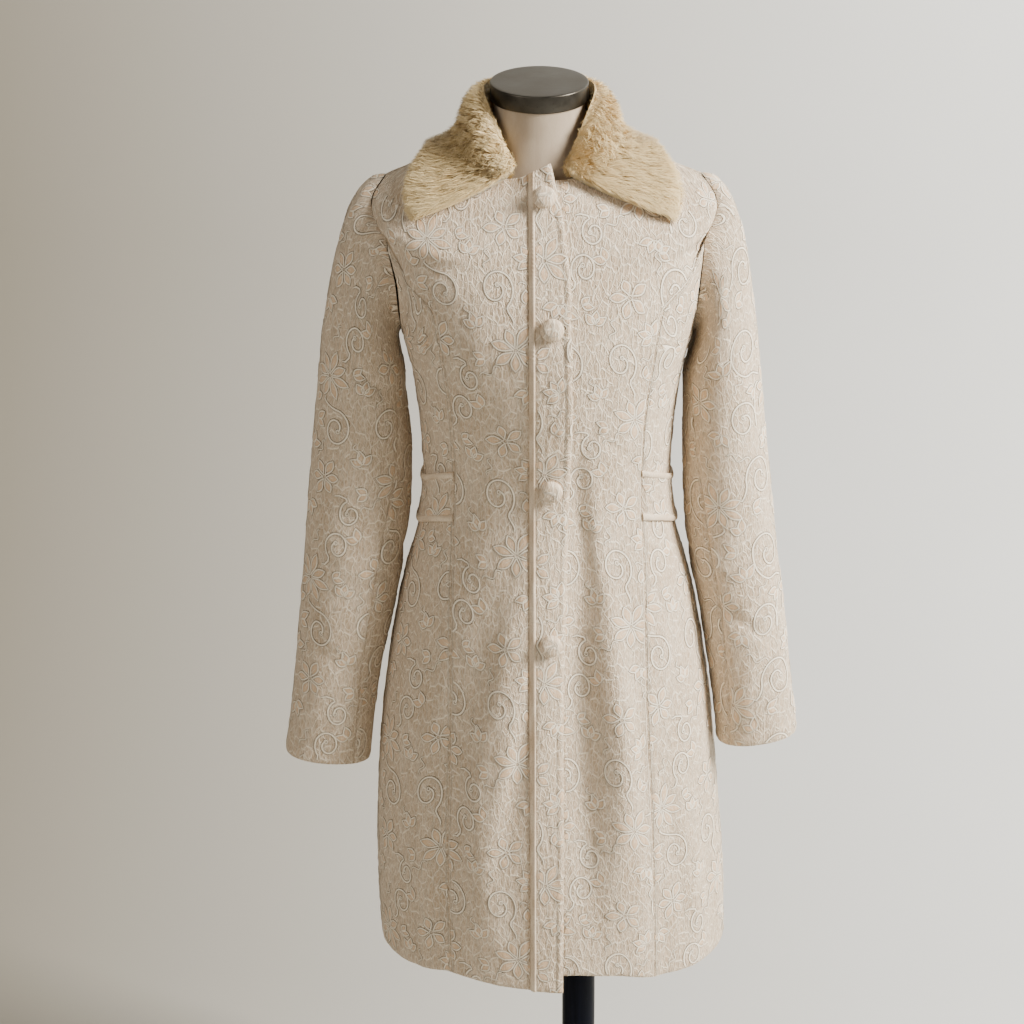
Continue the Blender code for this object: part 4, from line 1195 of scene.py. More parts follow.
def copies(cloth):
    """The pattern's patches on every tile that this piece reaches, in its own flat cut."""
    moved = []
    tile = (REPEAT_WIDTH, REPEAT_HEIGHT)
    least = (cloth.across.min(), cloth.along.min())
    most = (cloth.across.max(), cloth.along.max())
    for grid, *rest in JACQUARD:
        here = grid - cloth.shift
        low = here.min(axis=(0, 1))
        high = here.max(axis=(0, 1))
        first = [math.ceil((a - b) / size) for a, b, size in zip(least, high, tile)]
        last = [math.floor((a - b) / size) for a, b, size in zip(most, low, tile)]
        for i in range(first[0], last[0] + 1):
            for j in range(first[1], last[1] + 1):
                moved.append((here + (i * REPEAT_WIDTH, j * REPEAT_HEIGHT), *rest))
    return moved


def within(cloth, patches, covered):
    """Patches cut off at the piece's edges and where another piece covers it."""
    centres = [grid[:, grid.shape[1] // 2] for grid, *_ in patches]
    flat = np.concatenate(centres)
    row, _, miss = on_cloth(cloth, flat)
    number = np.arange(len(cloth.across))
    first = np.interp(row, number, cloth.across[:, 0]) + covered + LINE_MARGIN
    last = np.interp(row, number, cloth.across[:, -1]) - LINE_MARGIN
    inside = (miss < LINE_MARGIN) & (flat[:, 0] > first) & (flat[:, 0] < last)
    inside &= flat[:, 1] > LINE_MARGIN
    kept = []
    begin = 0
    for patch, centre in zip(patches, centres):
        mine = inside[begin:begin + len(centre)]
        begin += len(centre)
        breaks = np.flatnonzero(np.diff(mine.astype(int))) + 1
        for part in np.split(np.arange(len(mine)), breaks):
            if mine[part[0]] and len(part) > 2:
                kept.append(tuple(values[part] for values in patch))
    return kept


def edge_patches(cloth):
    """The raised lines and stitches along a piece's edges."""
    patches = []
    for row in rows_of(EDGE_LINES):
        if row["cloth"] != cloth.name:
            continue
        at = -1 if row["edge"] == "end" else 0
        inward = -1.0 if row["edge"] == "end" else 1.0
        v = np.arange(0.001, cloth.along[:, at].max() - 0.001, STITCH_LENGTH / 2)
        u = np.interp(v, cloth.along[:, at], cloth.across[:, at]) + inward * row["inset"]
        if not row["stitched"]:
            patches.append(line_patch(np.stack([u, v], axis=-1), row["share"]))
            continue
        for start in np.arange(v[0], v[-1] - STITCH_SPACING, STITCH_SPACING):
            stitch = start + np.linspace(0.0, STITCH_LENGTH, 3)
            line = np.stack([np.interp(stitch, v, u), stitch], axis=-1)
            patches.append(line_patch(line, row["share"]))
    return patches


def relief(name, patches, place_on, shift, material):
    """Patches laid on a surface, which gives the point and normal of each flat place."""
    flat = np.concatenate([grid.reshape(-1, 2) for grid, *_ in patches])
    height, tone, fill = (
        np.concatenate([patch[part].ravel() for patch in patches]) for part in (1, 2, 3)
    )
    base, normal = place_on(flat)
    points = base + normal * height[:, None]
    faces = []
    first = 0
    for grid, *_ in patches:
        index = first + np.arange(grid.shape[0] * grid.shape[1]).reshape(grid.shape[:2])
        quads = np.stack([index[:-1, :-1], index[1:, :-1], index[1:, 1:], index[:-1, 1:]], -1)
        faces.append(quads.reshape(-1, 4))
        first += index.size
    faces = np.concatenate(faces)
    a, b, c = points[faces[0, :3]]
    if np.dot(np.cross(b - a, c - a), normal[faces[0, 0]]) < 0.0:
        faces = faces[:, ::-1]
    # The tone attribute carries the painted groove shade beside each line and the lighter line tops.
    mesh = mesh_from(name, points, [faces], flat + shift, {"tone": tone, "fill": fill})
    return show(name, mesh, material)


def pattern_object(cloth, material, covered=0.0):
    """The raised pattern that lies on a piece."""
    normals = grid_normals(cloth.outer)
    if np.dot(normals[0, 0], cloth.outer[0, 0] - cloth.inner[0, 0]) < 0.0:
        normals = -normals

    def place_on(flat):
        row, place, _ = on_cloth(cloth, flat)
        normal = on_grid(normals, row, place)
        normal /= np.linalg.norm(normal, axis=-1, keepdims=True)
        return on_grid(cloth.outer, row, place), normal

    patches = within(cloth, copies(cloth), covered) + edge_patches(cloth)
    return relief(cloth.name + "_pattern", patches, place_on, cloth.shift, material)


def body_place(lift=None, raised=False):
    """Places points on the coat by angle and level, with its creases and its hem's lift."""
    def place(angle, level, out):
        if lift:
            level = level + hem_lift(angle, level, lift)
        points = coat_point(angle, level, out + body_creases(angle, level))
        if raised:
            points[..., 2] += corner_height(points[..., 0], level)
        return points
    return place


def sleeve_place(side):
    def place(turn, down, out):
        out = out + sleeve_creases(turn, down, side)
        return sleeve_point(turn, down, side) + sleeve_facing(turn, down, side) * out[..., None]
    return place


def hem_rows(low, high, step):
    """Rows from a hem upwards, close together at the hem."""
    near = low + np.array(EDGE_STEPS)
    return np.concatenate([near[:-1], np.linspace(near[-1], high, round((high - near[-1]) / step))])


def fine_levels(top_turn=0.0, to_neck=True):
    """The rows of a panel, cut to a whole number of the inner grid's skips."""
    lower = hem_rows(HEM, ARMPIT, GRID)
    beside = armhole_level(np.linspace(180.0, top_turn, 56)[1:])
    yoke = np.linspace(SHOULDER_TIP, NECKLINE, 30)[1:]
    levels = np.concatenate([lower, beside, yoke] if to_neck else [lower, beside])
    spare = (len(levels) - 1) % INNER_SKIP
    return np.delete(levels, np.arange(20, 20 + spare))


def edged(levels, start, end):
    """Two edges with half a seam's gap taken off each."""
    return (
        start + seam_turn(levels, start, SEAM / 2),
        end - seam_turn(levels, end, SEAM / 2),
    )


def panel_edges(levels, back=False):
    """The outer edge of a centre panel: princess seam, armhole and shoulder seam."""
    return np.where(
        levels < armhole_level(PRINCESS_MEETS) + TINY,
        princess_angle(levels, back),
        np.where(levels < SHOULDER_TIP, armhole_angle(levels, back), 90.0),
    )


def placket_rise(from_start, full):
    """The band climbs from its seam, dips at its stitching and ends in a rolled edge."""
    from_end = full - from_start
    dip = STITCH_DIP * np.exp(-(((from_end - STITCH_INSET) / STITCH_DIP_WIDTH) ** 2))
    roll = EDGE_LIFT * np.exp(-(((from_end - EDGE_LIFT_INSET) / EDGE_LIFT_INSET) ** 2))
    return PLACKET_RISE * ease(from_start / full / PLACKET_RISES_BY) - dip + roll


def tab_rise(from_start, full):
    """The waist band lies over the side pieces and sinks into the seams at its two ends."""
    from_end = np.minimum(from_start, full - from_start)
    return CLOTH + LAP - TAB_END_DIP * np.exp(-((from_end / TAB_END_WIDTH) ** 2))


def strip_rise(share):
    """A corded strip on a waist band, by its place along the band."""
    from_end = np.minimum(share, 1.0 - share) * BAND_LENGTH
    dip = TAB_END_DIP * np.exp(-((from_end / TAB_END_WIDTH) ** 2))
    return CLOTH + LAP + TAB_WELT_GAP + CLOTH - STRIP_SINKS - dip


def body_cloths():
    """The eight body pieces as (cloth, metres of its start edge that another piece covers)."""
    levels = fine_levels()
    outer_edge = panel_edges(levels)
    seam = angle_at_x(levels, PLACKET_SEAM_X)
    under = angle_at_x(levels, UNDER_FRONT_X)
    band_edge = angle_at_x(levels, curve_through(PLACKET_EDGE, "x", levels))
    back_edge = panel_edges(levels, back=True)
    right = body_place(LIFT_RIGHT, raised=True)
    left = body_place(LIFT_LEFT)
    plain = body_place()
    cloths = []
    start, end = edged(levels, -outer_edge, seam)
    cloth = lay_cloth("front_right", levels, start, end, 0.11, right, (0.06, 0.02), grain=1.0)
    cloths.append((cloth, 0.0))
    start, end = edged(levels, under, outer_edge)
    cloth = lay_cloth("front_left", levels, start, end, 0.13, left, (0.13, 0.11), grain=0.0)
    cloths.append((cloth, 0.024))
    start, end = edged(levels, back_edge, 360.0 - back_edge)
    cloths.append((lay_cloth("back", levels, start, end, 0.25, plain, (0.10, 0.07)), 0.0))
    start, end = edged(levels, seam, band_edge)
    band = lay_cloth(
        "front_placket", levels, start, end, 0.040, right, (0.03, 0.16), placket_rise, grid=0.001,
        grain=0.0,
    )
    cloths.append((band, WELT_WIDTH))
    levels = fine_levels(PRINCESS_MEETS, to_neck=False)
    side_seam = np.full_like(levels, 90.0)
    front_arm = np.where(levels <= ARMPIT, side_seam, armhole_angle(levels))
    back_arm = np.where(levels <= ARMPIT, side_seam, armhole_angle(levels, back=True))
    front_seam = princess_angle(levels)
    back_seam = princess_angle(levels, back=True)
    sides = (
        ("side_front_left", front_seam, front_arm, left, (0.02, 0.20)),
        ("side_front_right", -front_arm, -front_seam, right, (0.16, 0.14)),
        ("side_back_left", back_arm, back_seam, plain, (0.08, 0.18)),
        ("side_back_right", -back_seam, -back_arm, plain, (0.12, 0.03)),
    )
    for name, first, last, place, shift in sides:
        start, end = edged(levels, first, last)
        cloths.append((lay_cloth(name, levels, start, end, 0.17, place, shift), 0.0))
    return cloths


def sleeve_cloths():
    """Two-piece sleeves."""
    cap = np.linspace(0.0, 1.0, 57) ** 1.1
    arm = 2.0 - (hem_rows(0.0, SLEEVE_PER_DOWN, GRID) / SLEEVE_PER_DOWN)[::-1]
    down = np.concatenate([cap, arm[1:]])
    down = np.delete(down, np.arange(80, 80 + (len(down) - 1) % INNER_SKIP))
    seam = curve_through(SLEEVE_SEAM, "turn", down)
    back_seam = np.full_like(down, float(BACK_ARM_SEAM))
    gap = math.degrees(SEAM / 2 / ARM_RADIUS)
    shifts = {1: ((0.05, 0.12), (0.14, 0.05)), -1: ((0.11, 0.19), (0.01, 0.09))}
    cloths = []
    for side, arm_name in ((1, "left"), (-1, "right")):
        pieces = (
            ("sleeve_upper_", back_seam - 360.0, seam, 0.26, shifts[side][0]),
            ("sleeve_under_", seam, back_seam, 0.11, shifts[side][1]),
        )
        for name, first, last, width, shift in pieces:
            cloth = lay_cloth(
                name + arm_name, down, first + gap, last - gap, width, sleeve_place(side), shift,
                hem_first=False,
            )
            cloths.append((cloth, 0.0))
    return cloths


def cord_object(name, rows, start, end, place, out, along_rows, material):
    """A corded strip: a low round with slanting ribs, over a plain inside."""
    columns = 2 * INNER_SKIP + 1 if along_rows else whole_steps(0.26, 0.0016)
    share = np.linspace(0.0, 1.0, columns)
    angle = start[:, None] + (end - start)[:, None] * share
    level = rows[:, None] * np.ones_like(angle)
    base = place(angle, level, out(share) + np.zeros_like(angle))
    if along_rows:
        around = share[None, :] * np.ones_like(angle)
        steps = np.linalg.norm(np.diff(base[:, columns // 2], axis=0), axis=-1)
        along = np.concatenate([[0.0], np.cumsum(steps)])[:, None] + 0.0 * angle
    else:
        around = ((rows - rows[0]) / (rows[-1] - rows[0]))[:, None] * np.ones_like(angle)
        steps = np.linalg.norm(np.diff(base[len(rows) // 2], axis=0), axis=-1)
        along = np.concatenate([[0.0], np.cumsum(steps)])[None, :] + 0.0 * angle
    round_up = np.sin(math.pi * around) ** 0.6
    ribs = CORD_RIB * np.sin(2.0 * math.pi * (along / CORD_TWIST + 0.9 * around)) * round_up
    outer = place(angle, level, out(share) - CORD_RISE * (1.0 - round_up) + ribs)
    few = (slice(None, None, INNER_SKIP), slice(None, None, INNER_SKIP))
    inner = place(angle[few], level[few], (out(share) - CLOTH + 0.0 * angle)[few])
    uv = np.stack([WELT_WIDTH * around, along], axis=-1)
    faces = outward(outer, inner, wall_faces(outer.shape[:2], inner.shape[:2]))
    both = np.concatenate([uv.reshape(-1, 2), uv[few].reshape(-1, 2)])
    points = np.concatenate([outer.reshape(-1, 3), inner.reshape(-1, 3)])
    return show(name, mesh_from(name, points, faces, both), material)


def placket_welt(material):
    levels = fine_levels()
    count = whole_steps(len(levels) - 1, 0.5)
    levels = np.interp(np.linspace(0.0, 1.0, count), np.linspace(0.0, 1.0, len(levels)), levels)
    x = PLACKET_SEAM_X - WELT_FROM_SEAM
    start, end = edged(levels, angle_at_x(levels, x), angle_at_x(levels, x + WELT_WIDTH))
    return cord_object(
        "placket_welt_cord", levels, start, end, body_place(LIFT_RIGHT, raised=True),
        lambda share: CLOTH + SEAM - STRIP_SINKS + PLACKET_RISE * ease(share / WELT_RISES_BY), True,
        material,
    )


def waist_bands():
    """The bands at the sides of the waist as cloths, and their corded edges as tasks."""
    tabs = []
    for side, arm in ((1, "left"), (-1, "right")):
        levels = np.linspace(TAB_LOW, TAB_HIGH, whole_steps(TAB_HIGH - TAB_LOW, GRID))
        front = side * princess_angle(levels)
        back = side * princess_angle(levels, back=True)
        start, end = (front, back) if side > 0 else (back, front)
        cloth = lay_cloth(
            "waist_tab_" + arm, levels, start, end, 0.26, body_place(), (0.04 * side, 0.05),
            tab_rise,
        )
        welts = []
        for name, low in (("waist_welt_lower_", TAB_LOW), ("waist_welt_upper_", TAB_HIGH - TAB_WELT)):
            rows = np.linspace(low, low + TAB_WELT, 2 * INNER_SKIP + 1)
            front = side * princess_angle(rows)
            back = side * princess_angle(rows, back=True)
            first, last = (front, back) if side > 0 else (back, front)
            welts.append((name + arm, rows, first, last))
        tabs.append((cloth, welts))
    return tabs


def ring_faces(rows, steps):
    """The faces between closed rings of points, with a cap at either end."""
    index = np.arange(rows * steps).reshape(rows, steps)
    after = np.roll(index, -1, axis=1)
    quads = np.stack([index[:-1], after[:-1], after[1:], index[1:]], -1).reshape(-1, 4)
    return [quads, index[0][::-1][None, :], index[-1][None, :]]


def lathe(name, profile, steps, axis, origin, material):
    """A turned body from (radius, height) points, about an axis through the origin."""
    turn = np.linspace(0.0, 2.0 * math.pi, steps, endpoint=False)
    rings = [(max(radius, 1e-6), height) for radius, height in profile]
    local = np.array([[(r * math.cos(t), r * math.sin(t), h) for t in turn] for r, h in rings])
    matrix = np.array(Vector(axis).to_track_quat("Z", "Y").to_matrix())
    points = local.reshape(-1, 3) @ matrix.T + np.array(origin)
    uv = np.stack([local[..., 0], local[..., 1]], axis=-1).reshape(-1, 2)
    return show(name, mesh_from(name, points, ring_faces(len(rings), steps), uv), material)


def button_seats():
    """Where each button stands and which way it faces."""
    seats = []
    for row in rows_of(BUTTONS):
        x = row["x"]
        above = corner_height(x, level_at_height(row["height"]))
        level = level_at_height(row["height"] - above)
        angle = angle_at_x(level, x)
        seat = coat_point(angle, level, PLACKET_RISE + row["seat"])
        seat[2] += corner_height(x, level)
        out = coat_point(angle, level, 1.0) - coat_point(angle, level, 0.0)
        seats.append((Vector(seat), Vector(out)))
    return seats


def button_outline():
    """The covered dome, its rounded rim and the plain underside, from below up to the top."""
    radius = column(BUTTON_PROFILE, "radius")[::-1]
    height = column(BUTTON_PROFILE, "height")[::-1]
    share = np.linspace(0.0, 1.0, 16)[1:]
    rim = radius.max()
    low = height[3]
    top = height[-1]
    under = list(zip(radius[:3], height[:3])) + [(radius[3], low)]
    dome = [
        (rim * math.cos(0.5 * math.pi * s) ** 0.55, low + (top - low) * math.sin(0.5 * math.pi * s))
        for s in share
    ]
    return under + [(rim, low + 0.0006)] + dome[:-1] + [(0.0, top)]


BUTTON_DEPTH = 0.35
BUTTON_LINES = (
    ("turn", "bend", "aside", "length"),
    (25.0, 0.0040, 0.0020, 0.0090),
    (120.0, 0.0032, -0.0024, 0.0085),
    (-60.0, -0.0030, 0.0030, 0.0070),
)


def buttons(cover, lines_material):
    """Cloth-covered buttons, each with a scrap of the pattern across its dome."""
    profile = button_outline()
    radii = np.array([r for r, _ in profile])[::-1]
    heights = np.array([h for _, h in profile])[::-1]
    dome = slice(0, 15)
    slopes = np.gradient(heights[dome], radii[dome] + TINY)
    pieces = []
    for number, (seat, out) in enumerate(button_seats(), 1):
        name = f"button_{number}"
        obj = lathe(name + "_cover", profile, 40, out, seat, cover)
        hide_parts(name)
        matrix = np.array(out.to_track_quat("Z", "Y").to_matrix())
        patches = []
        for row in rows_of(BUTTON_LINES):
            share = np.linspace(-1.0, 1.0, 15)
            flat = np.stack(
                [row["length"] * share, row["aside"] + row["bend"] * (1.0 - share**2)], axis=-1
            )
            patches.append(line_patch(turned(flat, row["turn"] + 70.0 * number, 0.0, 0.0), 0.36))

        def on_dome(flat):
            radius = np.linalg.norm(flat, axis=-1)
            z = np.interp(radius, radii[dome], heights[dome])
            slope = np.interp(radius, radii[dome], slopes)
            sideways = -flat * (slope / (radius + TINY))[:, None]
            normal = np.concatenate([sideways, np.ones((len(flat), 1))], axis=1)
            normal /= np.linalg.norm(normal, axis=-1, keepdims=True)
            local = np.concatenate([flat, z[:, None]], axis=1)
            return local @ matrix.T + np.array(seat), normal @ matrix.T

        marks = relief(name + "_pattern", patches, on_dome, (0.0, 0.0), lines_material)
        pieces += [obj, marks]
    return pieces


def collar_grid(angles, fullness):
    return np.array([collar_section(angle, fullness) for angle in angles])


def collar_skin(material):
    """The collar's own body under its pile."""
    first = column(COLLAR_SECTIONS, "neck_angle")[0]
    angles = np.linspace(first, 360.0 - first, SKIN_TURNS + 1)
    angles = np.where(angles > 180.0, angles - 360.0, angles)
    rings = collar_grid(angles, SKIN_FULLNESS)
    count = rings.shape[1]
    index = np.arange(rings.shape[0] * count).reshape(-1, count)
    after = np.roll(index, -1, axis=1)
    quads = np.stack([index[:-1], after[:-1], after[1:], index[1:]], -1).reshape(-1, 4)
    caps = [index[0][::-1][None, :], index[-1][None, :]]
    return show("fur_collar_skin", mesh_from("fur_collar_skin", rings, [quads] + caps), material)


def collar_flat_size():
    """The collar's cut: its greatest length round the neck, its depth and its area."""
    first = column(COLLAR_SECTIONS, "neck_angle")[0]
    turns = np.linspace(first, 360.0 - first, 97)
    lines = collar_grid(np.where(turns > 180.0, turns - 360.0, turns), SKIN_FULLNESS)[:, COLLAR_TOP]
    around = np.linalg.norm(np.diff(lines, axis=0), axis=-1).sum(axis=0).max()
    steps = np.linalg.norm(np.diff(lines, axis=1), axis=-1)
    across = np.linalg.norm(np.diff(lines, axis=0), axis=-1)
    area = np.sum(0.5 * (across[:, 1:] + across[:, :-1]) * 0.5 * (steps[1:] + steps[:-1]))
    return float(around), float(steps.sum(axis=1).max()), float(area)


def smooth_rows(grid, rows):
    """A grid whose columns are read again at more places along each row's line."""
    steps = np.linalg.norm(np.diff(grid, axis=1), axis=-1).mean(axis=0)
    reach = np.concatenate([[0.0], np.cumsum(steps)])
    at = np.linspace(0.0, reach[-1], rows)
    return np.stack(
        [
            np.stack([np.interp(at, reach, line[:, axis]) for axis in range(3)], axis=-1)
            for line in grid
        ]
    )


def pile(material):
    """Tufted strands over the collar: up and over the roll, then combed down to its edge."""
    first = column(COLLAR_SECTIONS, "neck_angle")[0]
    turns = np.linspace(first, 360.0 - first, PILE_TURNS + 1)
    angles = np.where(turns > 180.0, turns - 360.0, turns)
    skin = smooth_rows(collar_grid(angles, SKIN_FULLNESS)[:, PILE_POINTS], PILE_PLACES + 1)
    full = smooth_rows(collar_grid(angles, 1.0)[:, PILE_POINTS], PILE_PLACES + 1)
    normals = grid_normals(skin)
    middle = skin.reshape(-1, 3).mean(axis=0)
    outer = PILE_OUTER_PLACE
    if np.sum(normals[:, outer] * (skin[:, outer] - middle)) < 0.0:
        normals = -normals
    down = np.gradient(skin, axis=1)
    down /= np.linalg.norm(down, axis=-1, keepdims=True)
    round_neck = np.gradient(skin, axis=0)
    round_neck /= np.linalg.norm(round_neck, axis=-1, keepdims=True)
    hollow = np.exp(-(((np.arange(PILE_PLACES + 1) - HOLLOW_AT) / HOLLOW_WIDTH) ** 2))
    full = full + normals * (HOLLOW_FILL * hollow)[None, :, None]
    row_step = np.linalg.norm(np.diff(skin, axis=1), axis=-1).mean()

    def scatter(count):
        """Rows and places over the collar, with more of them close to its two front ends."""
        row = CHANCE.uniform(0.0, PILE_TURNS, count)
        from_end = (PILE_TURNS - row) / PILE_END_CROWD
        near = np.where(row < PILE_MIDDLE, row / PILE_END_CROWD, PILE_TURNS - from_end)
        row = np.where(CHANCE.uniform(0.0, 1.0, count) < END_SHARE, near, row)
        return row, PILE_PLACES * CHANCE.uniform(0.0, 1.0, count) ** PILE_PLACE_BIAS

    tuft_row, tuft_place = scatter(TUFTS)
    row, place = scatter(STRANDS)
    tree = KDTree(TUFTS)
    tuft_root = on_grid(skin, tuft_row, tuft_place)
    for number, point in enumerate(tuft_root):
        tree.insert(point, number)
    tree.balance()
    root = on_grid(skin, row, place)
    tuft = np.array([tree.find(point)[1] for point in root])
    tuft_lean = 0.9 * swirl(tuft_root) + CHANCE.normal(0.0, TUFT_SWAY, (TUFTS, 2))
    tuft_long = CHANCE.uniform(0.75, 1.15, TUFTS)
    tuft_tone = np.clip(0.5 + 2.0 * swirl(tuft_root)[:, 0] + CHANCE.normal(0.0, 0.22, TUFTS), 0, 1)

    def tips(row, place, lean, long):
        """Where strands end: on the collar's outer surface, and further down its fall."""
        over = (place - PILE_CREST) / (PILE_PLACES - PILE_CREST)
        comb = np.where(over > 0.0, 0.35 + 0.45 * ease(over * 1.5), -0.55 * ease(-over * 2.5))
        run = (comb + 0.6 * lean[:, 1]) * STRAND_LENGTH * long
        to_row = np.clip(row + lean[:, 0] * STRAND_LENGTH * long / ROW_WIDTH, 0.0, PILE_TURNS)
        to_place = place + run / row_step
        past = np.clip((to_place - PILE_PLACES) * row_step, 0.0, FRINGE)[:, None]
        end = np.clip(to_place, 0.0, PILE_PLACES)
        ends = np.exp(-row / PILE_END_FADE) - np.exp(-(PILE_TURNS - row) / PILE_END_FADE)
        front = (END_FRINGE * long * ends)[:, None] * on_grid(round_neck, row, end)
        return on_grid(full, to_row, end) + past * on_grid(down, to_row, end) - front

    tuft_tip = tips(tuft_row, tuft_place, tuft_lean, tuft_long)
    long = tuft_long[tuft] * CHANCE.uniform(0.6, 1.2, STRANDS)
    lean = tuft_lean[tuft] + CHANCE.normal(0.0, STRAND_SWAY, (STRANDS, 2))
    normal = on_grid(normals, row, place)
    tip = tips(row, place, lean, long) + CHANCE.normal(0.0, WISP, (STRANDS, 3))
    gathered = tuft_tip[tuft] + (root - tuft_root[tuft]) * TUFT_SPREAD
    tip = tip + (gathered - tip) * CHANCE.uniform(*TUFT_PULL, STRANDS)[:, None]
    lift = np.sum((tip - root) * normal, axis=-1)
    knee = root + (tip - root) * STRAND_KNEE_ALONG + normal * (lift * STRAND_KNEE_LIFT)[:, None]
    tone = np.clip(0.7 * tuft_tone[tuft] + CHANCE.uniform(0.0, 0.3, STRANDS), 0.0, 1.0)
    shares = np.array(STRAND_SHARES)
    widths = np.array(STRAND_TAPER) * STRAND_WIDTH
    line = (
        root[:, None] * ((1.0 - shares) ** 2)[:, None]
        + knee[:, None] * (2.0 * shares * (1.0 - shares))[:, None]
        + tip[:, None] * (shares**2)[:, None]
    )
    twist = CHANCE.normal(0.0, STRAND_TWIST, STRANDS)
    side = np.cross(tip - root, normal + round_away(normal, twist))
    side /= np.maximum(np.linalg.norm(side, axis=-1, keepdims=True), 1e-12)
    left = line[:, :3] - side[:, None] * widths[:3, None] * 0.5
    right = line[:, :3] + side[:, None] * widths[:3, None] * 0.5
    points = np.concatenate([left, right, line[:, 3:]], axis=1)
    pieces = []
    halves = (("fur_pile_left", row < PILE_MIDDLE), ("fur_pile_right", row >= PILE_MIDDLE))
    for name, chosen in halves:
        mine = points[chosen]
        count = len(mine)
        base = STRAND_POINTS * np.arange(count)[:, None]
        quads = np.concatenate([base + [0, 3, 4, 1], base + [1, 4, 5, 2]])
        tip_faces = base + [2, 5, 6]
        grow = np.tile(np.concatenate([shares[:3], shares[:3], [1.0]]), count)
        values = {"grow": grow, "tone": np.repeat(tone[chosen], STRAND_POINTS)}
        mesh = mesh_from(name, mine, [quads, tip_faces], None, values)
        pieces.append(show(name, mesh, material))
    return pieces


def swirl(points):
    """Slow changes of the pile's lie over the collar, sideways and lengthwise."""
    x, y, z = points.T
    sideways = np.sin(52.0 * x + 31.0 * z) * np.cos(44.0 * y - 20.0 * z)
    lengthwise = np.sin(38.0 * x - 47.0 * y + 1.0) * np.cos(60.0 * z + 25.0 * x)
    return 0.30 * np.stack([sideways, lengthwise], axis=-1)


def round_away(normal, twist):
    """A small turn of each normal, so that neighbouring strands catch the light apart."""
    other = np.cross(normal, (0.37, 0.61, 0.70))
    return other * twist[:, None]


def form_body(material):
    """The form's covered torso and neck."""
    angle = np.arange(0.0, 360.0, COVER_ANGLE_STEP)
    foot = np.linspace(FORM_FOOT, ARMPIT, COVER_ROWS)
    beside = armhole_level(np.arange(165.0, -1.0, -15.0))
    yoke = np.linspace(SHOULDER_TIP, NECKLINE, COVER_YOKE_ROWS)[1:]
    levels = np.concatenate([foot, beside, yoke])
    rings = [form_point(angle, np.full_like(angle, level)) for level in levels]
    rings[0][:, 2] = FORM_FOOT
    low, high = column(NECK_SECTIONS, "level")
    for level in np.linspace(low, high, COVER_NECK_ROWS):
        rings.append(ring_point(angle, np.full_like(angle, level), NECK_SECTIONS))
    turn = np.radians(angle)
    y = -NECK_TOP_HALF_DEPTH * np.cos(turn)
    under_cap = CAP_TOP.z - (CAP_HEIGHT + SEAM) / math.cos(CAP_TILT)
    x = CAP_TOP.x + NECK_TOP_HALF_WIDTH * np.sin(turn)
    rings.append(np.stack([x, CAP_TOP.y + y, under_cap + y * math.tan(CAP_TILT)], axis=-1))
    points = np.array(rings)
    faces = ring_faces(*points.shape[:2])
    around = angle[None, :] * COVER_SCALE + np.zeros(points.shape[:2])
    uv = np.stack([around, points[..., 2]], axis=-1).reshape(-1, 2)
    return show("form_cover", mesh_from("form_cover", points, faces, uv), material)


def rounded_disc(radius, height, bevel, crown=0.0, steps=5):
    """The outline of a disc with rounded rims, from the middle of its underside to its top."""
    turn = np.linspace(0.0, 0.5 * math.pi, steps)
    low = [(radius - bevel * (1.0 - math.sin(t)), bevel * (1.0 - math.cos(t))) for t in turn]
    high = [
        (radius - bevel * (1.0 - math.cos(t)), height - bevel * (1.0 - math.sin(t))) for t in turn
    ]
    inner = [(radius * share, height + crown * (1.0 - share**2)) for share in (0.9, 0.6, 0.3, 0.0)]
    return [(0.0, 0.0), (radius * 0.5, 0.0)] + low + high + inner


def linear(red, green, blue):
    """A colour given in the usual 0 to 255 steps, as the shader wants it."""
    shares = [value / 255.0 for value in (red, green, blue)]
    return tuple(s / 12.92 if s < 0.04045 else ((s + 0.055) / 1.055) ** 2.4 for s in shares) + (1.0,)


